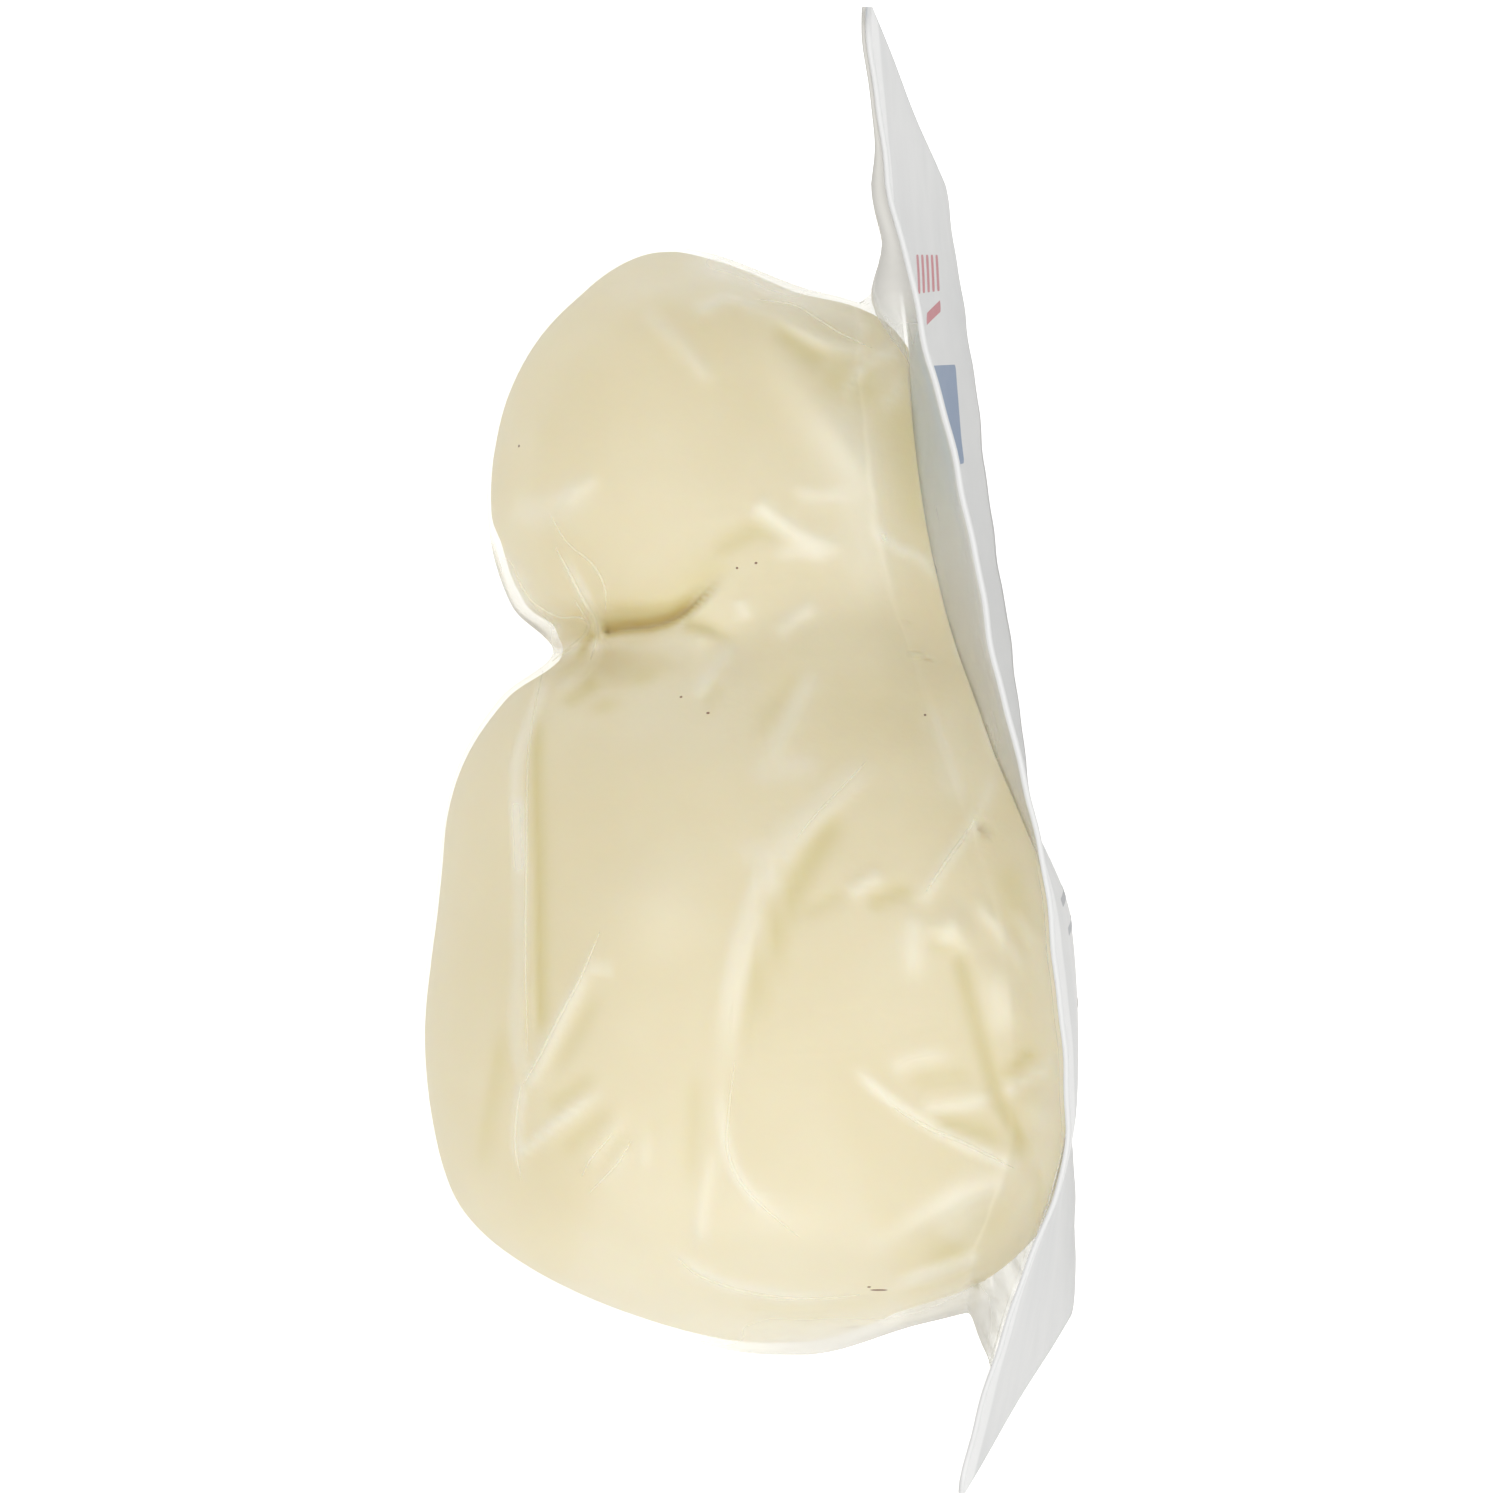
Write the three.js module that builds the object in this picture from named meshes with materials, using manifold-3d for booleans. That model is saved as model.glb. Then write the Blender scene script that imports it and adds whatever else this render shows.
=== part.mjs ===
// A scamorza, a pear-shaped cheese with a tied-off head, sealed under clear film on a curved backing sheet.
// Millimetres, +Z up. The pack lies on its flank: the head points along +Y and the sheet stands at +X, its
// long lower edge on the table. The origin is on the table under the middle of the pack.

import * as THREE from "three";
import { mergeVertices } from "three/addons/utils/BufferGeometryUtils.js";
import Module from "manifold-3d";

const wasm = await Module();
wasm.setup();

// Driving dimensions
const PACK_LENGTH = 136;
const SHEET_HEIGHT = 86;
const SHEET_THICKNESS = 0.5;
const SHEET_CORNER_RADIUS = 4.5;
const FLANGE_THICKNESS = 0.4;
const SEAL_GAP = 0.3;
const CHEESE_AXIS_HEIGHT = 38;

// The film's web: how far it stands off the sheet beside the cheese, and how far out it runs
const WEB_RISE = 4.5;
const WEB_REACH = 3.8;

// Fullness of the cheese's cross-section: 2 is an ellipse, more is boxier; the sheet presses its back full,
// the body's more than the head's, and the change runs between two stations
const FRONT_FULLNESS = 2.4;
const HEAD_BACK_FULLNESS = 4;
const BODY_BACK_FULLNESS = 6.5;
const BACK_FILLS_BETWEEN = [4, 8];

// The crease under the head, which the notch in the front outline carries on across both flanks
const CREASE_STATION = 5;
const CREASE_REACH = 0.75;
const CREASE_DEPTH = 0.17;
const CREASE_FADES_AT = 0.1;
const CREASE_FULL_AT = 0.7;

// The pack's stations from the crown of the head to the foot of the body: the front outline's X and Y, the
// back outline's X and Y where the cheese presses on the sheet, and half the depth along Z
const STATIONS = [
  { front: [-12, 53.9], back: [-12, 53.9], halfDepth: 0 },
  { front: [-22.3, 47.4], back: [3.9, 48], halfDepth: 15 },
  { front: [-28.5, 38.5], back: [13, 44], halfDepth: 21 },
  { front: [-30.7, 25.5], back: [20, 28], halfDepth: 24.5 },
  { front: [-28, 15.3], back: [23, 16], halfDepth: 24.5 },
  { front: [-23.7, 10.6], back: [24, 11], halfDepth: 25 },
  { front: [-29.1, 5.7], back: [25.5, 6], halfDepth: 28.6 },
  { front: [-33.9, -2.4], back: [28.5, -3], halfDepth: 34 },
  { front: [-36.1, -17.1], back: [32, -17], halfDepth: 39 },
  { front: [-37.5, -31], back: [34, -31], halfDepth: 39.6 },
  { front: [-35.6, -43], back: [31.5, -45], halfDepth: 37 },
  { front: [-32.4, -49.3], back: [25.5, -53], halfDepth: 31.6 },
  { front: [-21.3, -57.2], back: [15.4, -58.4], halfDepth: 20 },
  { front: [0.5, -64.7], back: [0.5, -64.7], halfDepth: 0 },
];

// The sheet from its top end to its foot, at even steps: the X of its raised edge, the X of the edge on the
// table, and how far its middle is drawn in (-) at the neck or pressed out (+) by the body
const SHEET_STATIONS = [
  { raised: 7.4, lower: 20.9, bow: 0 },
  { raised: 9.6, lower: 23.4, bow: -1.5 },
  { raised: 14.6, lower: 25.6, bow: -5 },
  { raised: 18.5, lower: 28.1, bow: -6 },
  { raised: 21.5, lower: 30.3, bow: -3.5 },
  { raised: 24.5, lower: 33.2, bow: 1.8 },
  { raised: 25.8, lower: 35, bow: 1.1 },
  { raised: 20.5, lower: 36.3, bow: 0.5 },
  { raised: 15.5, lower: 36.5, bow: 0 },
];

// Mesh steps: around and along the cheese, finer where its contact with the sheet is found, and along and
// across the film's skirt and the sheet
const CHEESE_STEPS = [56, 52];
const CONTACT_STEPS = [168, 156];
const SKIRT_STEPS = [38, 24];
const SHEET_STEPS = [34, 18];

const LAST_STATION = STATIONS.length - 1;

// One smooth closed curve runs down the front of the cheese and back up behind it, with the half depth as Z
const outline = new THREE.CatmullRomCurve3(
  [
    ...STATIONS.map(({ front, halfDepth }) => new THREE.Vector3(...front, halfDepth)),
    ...STATIONS.slice(1, LAST_STATION)
      .reverse()
      .map(({ back, halfDepth }) => new THREE.Vector3(...back, -halfDepth)),
  ],
  true,
);

const sheetLine = new THREE.CatmullRomCurve3(
  SHEET_STATIONS.map(({ raised, lower, bow }) => new THREE.Vector3(raised, lower, bow)),
);

/** A power of a signed value that keeps its sign. */
function signedPower(value, power) {
  return Math.sign(value) * Math.abs(value) ** power;
}

/** X of the sheet's inner face at a place on it. */
function sheetX(y, z) {
  const along = THREE.MathUtils.clamp(0.5 - y / PACK_LENGTH, 0, 1);
  const up = THREE.MathUtils.clamp(z / SHEET_HEIGHT, 0, 1);
  const line = sheetLine.getPoint(along);
  return THREE.MathUtils.lerp(line.y, line.x, up) + line.z * 4 * up * (1 - up);
}

/** A point of the film over the cheese: along runs from crown to foot, and turn once round from the front. */
function cheesePoint(along, turn) {
  const front = outline.getPoint(along / 2);
  const back = outline.getPoint(1 - along / 2);
  const filled = THREE.MathUtils.smoothstep(along * LAST_STATION, ...BACK_FILLS_BETWEEN);
  const backFullness = THREE.MathUtils.lerp(HEAD_BACK_FULLNESS, BODY_BACK_FULLNESS, filled);
  const fullness = Math.cos(turn) > 0 ? FRONT_FULLNESS : backFullness;
  const cosine = signedPower(Math.cos(turn), 2 / fullness);
  const sine = signedPower(Math.sin(turn), 2 / fullness);
  const fromCrease = (along * LAST_STATION - CREASE_STATION) / CREASE_REACH;
  const creased = THREE.MathUtils.smoothstep(Math.cos(turn), CREASE_FADES_AT, CREASE_FULL_AT);
  const pinch = 1 - CREASE_DEPTH * creased * Math.exp(-(fromCrease ** 2));
  const point = front.clone().add(back).multiplyScalar(0.5);
  point.addScaledVector(front.clone().sub(back), cosine / 2);
  point.z = CHEESE_AXIS_HEIGHT + front.z * pinch * sine;
  return point;
}

/** The cheese under its film, pressed flat where it meets the sheet and the table. */
function cheeseGeometry(steps) {
  const geometry = new THREE.SphereGeometry(1, ...steps);
  const { position, uv } = geometry.attributes;
  for (let i = 0; i < position.count; i += 1) {
    const point = cheesePoint(1 - uv.getY(i), 2 * Math.PI * uv.getX(i));
    point.z = Math.max(point.z, 0);
    const pressed = sheetX(point.y, point.z) - SEAL_GAP - FLANGE_THICKNESS / 2;
    point.x = Math.min(point.x, pressed);
    position.setXYZ(i, point.x, point.y, point.z);
  }
  return geometry;
}

/** A thin plate that follows the sheet, with round corners; inner and outer give the X of its two faces. */
function plateGeometry(steps, inner, outer) {
  const geometry = new THREE.BoxGeometry(1, PACK_LENGTH, SHEET_HEIGHT, 1, ...steps);
  const { position } = geometry.attributes;
  const flatY = PACK_LENGTH / 2 - SHEET_CORNER_RADIUS;
  const flatZ = SHEET_HEIGHT / 2 - SHEET_CORNER_RADIUS;
  for (let i = 0; i < position.count; i += 1) {
    let y = position.getY(i);
    let z = position.getZ(i);
    const overY = (Math.abs(y) - flatY) / SHEET_CORNER_RADIUS;
    const overZ = (Math.abs(z) - flatZ) / SHEET_CORNER_RADIUS;
    if (overY > 0 && overZ > 0) {
      y = Math.sign(y) * (flatY + SHEET_CORNER_RADIUS * overY * Math.sqrt(1 - overZ ** 2 / 2));
      z = Math.sign(z) * (flatZ + SHEET_CORNER_RADIUS * overZ * Math.sqrt(1 - overY ** 2 / 2));
    }
    z += SHEET_HEIGHT / 2;
    const x = position.getX(i) < 0 ? inner(y, z) : outer(y, z);
    position.setXYZ(i, x, y, z);
  }
  return geometry;
}

/** The film's flange on the sheet, thickened beside the cheese into the web that runs up its flank. */
function skirtGeometry() {
  const { position } = cheeseGeometry(CONTACT_STEPS).attributes;
  const contact = [];
  for (let i = 0; i < position.count; i += 1) {
    const point = new THREE.Vector3().fromBufferAttribute(position, i);
    if (sheetX(point.y, point.z) - point.x < WEB_RISE) {
      contact.push(new THREE.Vector2(point.y, point.z));
    }
  }
  const sealed = (y, z) => sheetX(y, z) - SEAL_GAP;
  const web = (y, z) => {
    const place = new THREE.Vector2(y, z);
    const away = Math.sqrt(Math.min(...contact.map((near) => near.distanceToSquared(place))));
    return sealed(y, z) - FLANGE_THICKNESS - WEB_RISE * Math.exp(-((away / WEB_REACH) ** 2));
  };
  return plateGeometry(SKIRT_STEPS, web, sealed);
}

/** A closed geometry as a solid that can be joined to another. */
function solidOf(geometry) {
  const bare = geometry.clone();
  bare.deleteAttribute("normal");
  bare.deleteAttribute("uv");
  const merged = mergeVertices(bare);
  return new wasm.Manifold(
    new wasm.Mesh({
      numProp: 3,
      vertProperties: new Float32Array(merged.attributes.position.array),
      triVerts: new Uint32Array(merged.index.array),
    }),
  );
}

/** A joined solid as a geometry. */
function geometryOf(solid) {
  const { vertProperties, triVerts, numProp } = solid.getMesh();
  const buffer = new THREE.InterleavedBuffer(vertProperties, numProp);
  const geometry = new THREE.BufferGeometry();
  geometry.setAttribute("position", new THREE.InterleavedBufferAttribute(buffer, 3, 0));
  geometry.setIndex(new THREE.BufferAttribute(triVerts, 1));
  geometry.computeVertexNormals();
  return geometry;
}

/** A named piece of the pack. */
function piece(name, geometry, finish) {
  const mesh = new THREE.Mesh(geometry, new THREE.MeshStandardMaterial(finish));
  mesh.name = name;
  return mesh;
}

const wrapped = solidOf(cheeseGeometry(CHEESE_STEPS)).add(solidOf(skirtGeometry()));
const filmPack = piece("film_pack", geometryOf(wrapped), {
  color: 0xe7dcba,
  roughness: 0.25,
  metalness: 0,
});

const sheetOuter = (y, z) => sheetX(y, z) + SHEET_THICKNESS;
const backingSheet = piece("backing_sheet", plateGeometry(SHEET_STEPS, sheetX, sheetOuter), {
  color: 0xe0e0de,
  roughness: 0.4,
  metalness: 0,
});

const pack = new THREE.Group();
pack.add(filmPack, backingSheet);

export default pack;
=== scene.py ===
"""A scamorza, a pear-shaped cheese with a tied-off head, sealed under clear film on a curved backing sheet.

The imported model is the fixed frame. The film's solid is replaced by a cheese and the clear film over it,
and the sheet's by a finer sheet with plain fields of print. Sizes are in millimetres until a mesh is made.
"""

import logging
import math
from collections.abc import Iterable
from dataclasses import dataclass
from enum import Enum

import bmesh
import bpy
import numpy as np
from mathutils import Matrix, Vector, noise
from mathutils.bvhtree import BVHTree
from mathutils.kdtree import KDTree


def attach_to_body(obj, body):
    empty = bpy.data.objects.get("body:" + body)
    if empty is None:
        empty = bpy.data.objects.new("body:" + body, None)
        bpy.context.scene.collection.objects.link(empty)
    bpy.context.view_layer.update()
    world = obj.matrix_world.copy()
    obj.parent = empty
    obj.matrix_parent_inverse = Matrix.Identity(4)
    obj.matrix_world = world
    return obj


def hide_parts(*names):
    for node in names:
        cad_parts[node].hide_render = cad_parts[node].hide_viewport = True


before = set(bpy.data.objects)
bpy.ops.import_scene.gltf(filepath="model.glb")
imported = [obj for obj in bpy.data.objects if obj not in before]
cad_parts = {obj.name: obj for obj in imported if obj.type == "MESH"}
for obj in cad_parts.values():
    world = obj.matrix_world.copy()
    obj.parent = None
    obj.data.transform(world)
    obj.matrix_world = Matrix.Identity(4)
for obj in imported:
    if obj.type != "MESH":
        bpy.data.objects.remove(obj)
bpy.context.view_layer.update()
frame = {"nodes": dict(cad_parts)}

Array = np.ndarray
Point = tuple[float, float]
Triple = tuple[float, float, float]
Colour = Triple
Piece = bpy.types.Object
Mesh = bpy.types.Mesh
Material = bpy.types.Material
Node = bpy.types.Node
Socket = bpy.types.NodeSocket
GeometryTree = bpy.types.GeometryNodeTree
ShaderTree = bpy.types.ShaderNodeTree

LOG = logging.getLogger("scamorza")
MM = 0.001
BODY = "root"
FILM_NODE = "film_pack"
SHEET_NODE = "backing_sheet"
SEED = 27
NOISE_STEP = Vector((3.1, 7.7, 5.3))


# Curves and the pack's form


@dataclass(frozen=True)
class SmoothLine:
    """A smooth curve through a few points, spaced centripetally.

    Attributes:
        points: The points that the curve passes through.
        closed: Whether the last point runs on to the first.
    """

    points: tuple[tuple[float, ...], ...]
    closed: bool = False

    LEAST_GAP = 1e-4

    def at(self, along: Array) -> Array:
        """Points on the curve.

        Args:
            along: Shares of the way along it, from 0 to 1, even between its points.

        Returns:
            One row for each share.
        """
        knots = np.array(self.points, float)
        count = len(knots)
        spans = count if self.closed else count - 1
        place = np.clip(along, 0, 1) * spans
        first = np.minimum(np.floor(place).astype(int), spans - 1)
        weight = (place - first)[:, None]
        if self.closed:
            before, start, end, after = (knots[(first + step) % count] for step in (-1, 0, 1, 2))
        else:
            padded = np.vstack([2 * knots[0] - knots[1], knots, 2 * knots[-1] - knots[-2]])
            before, start, end, after = (padded[first + step] for step in range(4))
        gaps = [
            np.sqrt(np.linalg.norm(b - a, axis=1, keepdims=True)).clip(self.LEAST_GAP)
            for a, b in ((before, start), (start, end), (end, after))
        ]
        lead = (start - before) / gaps[0] - (end - before) / (gaps[0] + gaps[1]) + (end - start) / gaps[1]
        trail = (end - start) / gaps[1] - (after - start) / (gaps[1] + gaps[2]) + (after - end) / gaps[2]
        lead, trail = lead * gaps[1], trail * gaps[1]
        square = 3 * (end - start) - 2 * lead - trail
        cube = 2 * (start - end) + lead + trail
        return start + weight * (lead + weight * (square + weight * cube))


def smoothstep(value: Array, low: float, high: float) -> Array:
    """A soft step from 0 at low to 1 at high."""
    share = np.clip((value - low) / (high - low), 0, 1)
    return share * share * (3 - 2 * share)


def signed_power(value: Array, power: Array) -> Array:
    """A power of a signed value that keeps its sign."""
    return np.sign(value) * np.abs(value) ** power


def wavering(points: Array, wavelength: float, seed: int) -> Array:
    """Smooth noise over points in space.

    Args:
        points: One row for each point.
        wavelength: The size of its hills, in the points' unit.
        seed: Moves the noise, so that two uses differ.

    Returns:
        A value from about -1 to 1 for each point.
    """
    shift = NOISE_STEP * seed
    return np.array([noise.noise(Vector(p) / wavelength + shift) for p in points])


@dataclass(frozen=True)
class Station:
    """One cross-section of the wrapped cheese.

    Attributes:
        front: X and Y of the front outline.
        back: X and Y of the back outline, where the cheese presses on the sheet.
        half_depth: Half the depth along Z.
    """

    front: Point
    back: Point
    half_depth: float


@dataclass(frozen=True)
class SheetStation:
    """One cross-section of the backing sheet.

    Attributes:
        raised: X of its raised edge.
        lower: X of the edge on the table.
        bow: How far its middle is drawn in (-) or pressed out (+).
    """

    raised: float
    lower: float
    bow: float


@dataclass(frozen=True)
class PackForm:
    """The form of the whole pack, in the same named sizes as its solids.

    Attributes:
        length: Length of the sheet along Y.
        height: Height of the sheet along Z.
        corner: Radius of the sheet's corners.
        axis_height: Height of the cheese's axis above the table.
        front_fullness: Fullness of the section's front, where 2 is an ellipse and more is boxier.
        back_fullness: Fullness of the section's back at the head and at the body.
        back_fills: Stations between which the one changes to the other.
        web_rise: How far the film's web stands off the sheet beside the cheese.
        web_reach: How far the web runs out over the sheet.
        film_gap: Gap between the film's flange and the sheet.
        flange: Thickness of the film's flange.
        rim_width: Width of the white margin along the sheet's raised rim.
        rim_lean: How far the rim leans in beside the head.
        crease: Station, reach in stations and share of the depth of the crease under the head.
        crease_turn: Cosines of the turn at which that crease fades out and is full.
        stations: The cheese from the crown of the head to the foot.
        sheet_stations: The sheet from its top end to its foot, at even steps.
    """

    length: float = 136.0
    height: float = 86.0
    corner: float = 4.5
    axis_height: float = 38.0
    front_fullness: float = 2.4
    back_fullness: Point = (4.0, 6.5)
    back_fills: Point = (4, 8)
    web_rise: float = 4.5
    web_reach: float = 3.8
    film_gap: float = 0.08
    flange: float = 0.3
    rim_width: float = 8.0
    rim_lean: float = 0.9
    crease: Triple = (5.0, 0.75, 0.17)
    crease_turn: Point = (0.1, 0.7)
    stations: tuple[Station, ...] = (
        Station((-12, 53.9), (-12, 53.9), 0),
        Station((-22.3, 47.4), (3.9, 48), 15),
        Station((-28.5, 38.5), (13, 44), 21),
        Station((-30.7, 25.5), (20, 28), 24.5),
        Station((-28, 15.3), (23, 16), 24.5),
        Station((-23.7, 10.6), (24, 11), 25),
        Station((-29.1, 5.7), (25.5, 6), 28.6),
        Station((-33.9, -2.4), (28.5, -3), 34),
        Station((-36.1, -17.1), (32, -17), 39),
        Station((-37.5, -31), (34, -31), 39.6),
        Station((-35.6, -43), (31.5, -45), 37),
        Station((-32.4, -49.3), (25.5, -53), 31.6),
        Station((-21.3, -57.2), (15.4, -58.4), 20),
        Station((0.5, -64.7), (0.5, -64.7), 0),
    )
    sheet_stations: tuple[SheetStation, ...] = (
        SheetStation(7.4, 20.9, 0),
        SheetStation(9.6, 23.4, -1.5),
        SheetStation(14.6, 25.6, -5),
        SheetStation(18.5, 28.1, -6),
        SheetStation(21.5, 30.3, -3.5),
        SheetStation(24.5, 33.2, 1.8),
        SheetStation(25.8, 35, 1.1),
        SheetStation(20.5, 36.3, 0.5),
        SheetStation(15.5, 36.5, 0),
    )

    def outline(self) -> SmoothLine:
        """The closed curve down the front of the cheese and back up behind it, with the half depth as Z."""
        fronts = [(*s.front, s.half_depth) for s in self.stations]
        backs = [(*s.back, -s.half_depth) for s in self.stations[-2:0:-1]]
        return SmoothLine(tuple(fronts + backs), closed=True)

    def sheet_x(self, y: Array, z: Array) -> Array:
        """X of the sheet's inner face at places on it."""
        line = SmoothLine(tuple((s.raised, s.lower, s.bow) for s in self.sheet_stations))
        raised, lower, bow = line.at(0.5 - y / self.length).T
        up = np.clip(z / self.height, 0, 1)
        return lower + (raised - lower) * up + bow * 4 * up * (1 - up)

    def wrapped(self, along: Array, turn: Array) -> Array:
        """Points of the film over the cheese.

        Args:
            along: Shares of the way from crown to foot.
            turn: Angles round from the front, over the near flank.

        Returns:
            One row of X, Y and Z for each pair.
        """
        outline = self.outline()
        front, back = outline.at(along / 2), outline.at(1 - along / 2)
        place = along * (len(self.stations) - 1)
        at_head, at_body = self.back_fullness
        back_fullness = at_head + (at_body - at_head) * smoothstep(place, *self.back_fills)
        power = 2 / np.where(np.cos(turn) > 0, self.front_fullness, back_fullness)
        cosine = signed_power(np.cos(turn), power)
        sine = signed_power(np.sin(turn), power)
        station, reach, depth = self.crease
        from_crease = (place - station) / reach
        creased = smoothstep(np.cos(turn), *self.crease_turn)
        pinch = 1 - depth * creased * np.exp(-(from_crease**2))
        points = (front + back) / 2 + (front - back) * cosine[:, None] / 2
        points[:, 2] = self.axis_height + front[:, 2] * pinch * sine
        return points

    def pressed(self, points: Array, table: float, sheet: float) -> Array:
        """Points pressed flat where they meet the table and the sheet.

        Args:
            points: One row of X, Y and Z each.
            table: How far they stay from the table.
            sheet: How far they stay from the sheet.

        Returns:
            The pressed points.
        """
        flat = points.copy()
        flat[:, 2] = np.maximum(flat[:, 2], table)
        flat[:, 0] = np.minimum(flat[:, 0], self.sheet_x(flat[:, 1], flat[:, 2]) - sheet)
        return flat


FORM = PackForm()


# The photograph's camera, and the folds that are placed by it


@dataclass(frozen=True)
class PhotoCamera:
    """The camera that looks straight down on the pack, as the photograph's did.

    Attributes:
        height: Height above the table.
        focal: Focal length in pixels of the frame.
        frame: Side of the square frame in pixels.
        over_x: X that the camera is over; it is over Y = 0.
        sensor: Width of the sensor.
        nearest: Distance from which it sees things.
    """

    height: float = 330.0
    focal: float = 2710.0
    frame: float = 1500.0
    over_x: float = -2.6
    sensor: float = 36.0
    nearest: float = 10.0

    def scale(self, points: Array) -> Array:
        """Pixels for each millimetre at points in space."""
        return self.focal / (self.height - points[:, 2])

    def pixels(self, points: Array) -> Array:
        """Where points in space show in the frame, X to the right and Y down."""
        scale = self.scale(points)
        across = self.frame / 2 + (points[:, 0] - self.over_x) * scale
        down = self.frame / 2 - points[:, 1] * scale
        return np.stack([across, down], 1)

    def ray(self, pixel: Point) -> tuple[Vector, Vector]:
        """The start, in metres, and the direction of the ray through a pixel."""
        half = self.frame / 2
        aim = Vector((pixel[0] - half, half - pixel[1], -self.focal))
        return Vector((self.over_x, 0, self.height)) * MM, aim.normalized()

    def build(self) -> Piece:
        """Makes the camera and gives it to the scene."""
        data = bpy.data.cameras.new("photo_camera")
        data.sensor_width = self.sensor
        data.lens = self.sensor * self.focal / self.frame
        data.clip_start = self.nearest * MM
        camera = bpy.data.objects.new("photo_camera", data)
        camera.location = Vector((self.over_x, 0, self.height)) * MM
        bpy.context.scene.collection.objects.link(camera)
        bpy.context.scene.camera = camera
        return camera


CAMERA = PhotoCamera()


class FoldKind(Enum):
    """What a fold does to film and cheese.

    Each has its share of the rise on the film and on the cheese, its whiteness, which the cheese also
    takes as painted sheen and light, its painted shade on the cheese, and the power of its edge.
    """

    # The whiteness is also painted on the cheese as sheen and light, and the fourth column is painted shade
    RIDGE = (0.9, 0.6, 0.19, 0.0, 2)
    BAND = (0.5, 0.3, 0.24, 0.0, 4)
    VALLEY = (-0.45, -0.55, 0.0, 0.50, 2)
    CREASE = (-0.75, -1.0, 0.0, 1.0, 2)
    LUMP = (1.0, 1.0, 0.06, 0.0, 2)
    HOLLOW = (0.0, -1.0, 0.32, 0.0, 2)
    # Painted shade only: the cheese darker and yellower where shade falls, with no fold
    STAIN = (0.0, 0.0, 0.0, 1.0, 2)
    # Whiter film, also painted on the cheese as sheen and light
    VEIL = (0.0, 0.0, 1.0, 0.0, 2)

    def __init__(self, film: float, cheese: float, haze: float, tint: float, edge: int) -> None:
        """Names the shares and the power of the edge, where more is crisper."""
        self.film = film
        self.cheese = cheese
        self.haze = haze
        self.tint = tint
        self.edge = edge


@dataclass(frozen=True)
class Fold:
    """A fold of the film or a mark of the cheese along a path in the photograph.

    Attributes:
        kind: What the fold does.
        rise: Its height in millimetres.
        width: Its half width in millimetres on the left and on the right of the way along it.
        path: Pixels that it passes, in order.
        ends: Shares of the path over which it fades in and out.
        strength: Share of its kind's haze and painted shade.
    """

    kind: FoldKind
    rise: float
    width: Point
    path: tuple[Point, ...]
    ends: Point = (0.3, 0.3)
    strength: float = 1.0

    STEPS = 24
    REACH = 2.6
    LEAST_RUN = 1e-9
    LEAST_FADE = 1e-3

    def amount(self, pixels: Array, scale: Array) -> tuple[Array, Array]:
        """How much of the fold each of some points has.

        Args:
            pixels: Where the points show.
            scale: Pixels for each millimetre there.

        Returns:
            The places of the points that it reaches, and a share from 0 to 1 for each.
        """
        line = SmoothLine(self.path).at(np.linspace(0, 1, self.STEPS + 1))
        room = self.REACH * max(self.width) * scale.max()
        inside = np.all((pixels > line.min(0) - room) & (pixels < line.max(0) + room), 1)
        near = np.flatnonzero(inside)
        starts, runs = line[:-1], np.diff(line, axis=0)
        away = pixels[near][:, None] - starts[None]
        share = np.clip((away * runs).sum(2) / (runs**2).sum(1).clip(self.LEAST_RUN), 0, 1)
        gaps = away - share[..., None] * runs
        distance = np.linalg.norm(gaps, axis=2)
        closest = distance.argmin(1)
        pick = np.arange(len(near)), closest
        turn = runs[closest, 0] * gaps[pick][:, 1] - runs[closest, 1] * gaps[pick][:, 0]
        width = np.where(turn > 0, self.width[1], self.width[0])
        along = (closest + share[pick]) / self.STEPS
        profile = np.exp(-((distance[pick] / scale[near] / width) ** self.kind.edge))
        fade_in, fade_out = (max(end, self.LEAST_FADE) for end in self.ends)
        taper = smoothstep(along, 0, fade_in) * smoothstep(1 - along, 0, fade_out)
        return near, profile * taper


# A letter for each kind, in the order that they are given in: ridge, band, valley, crease, lump, hollow,
# painted shade, and veil with painted sheen
R, B, V, C, L, D, S, H = FoldKind

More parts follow.
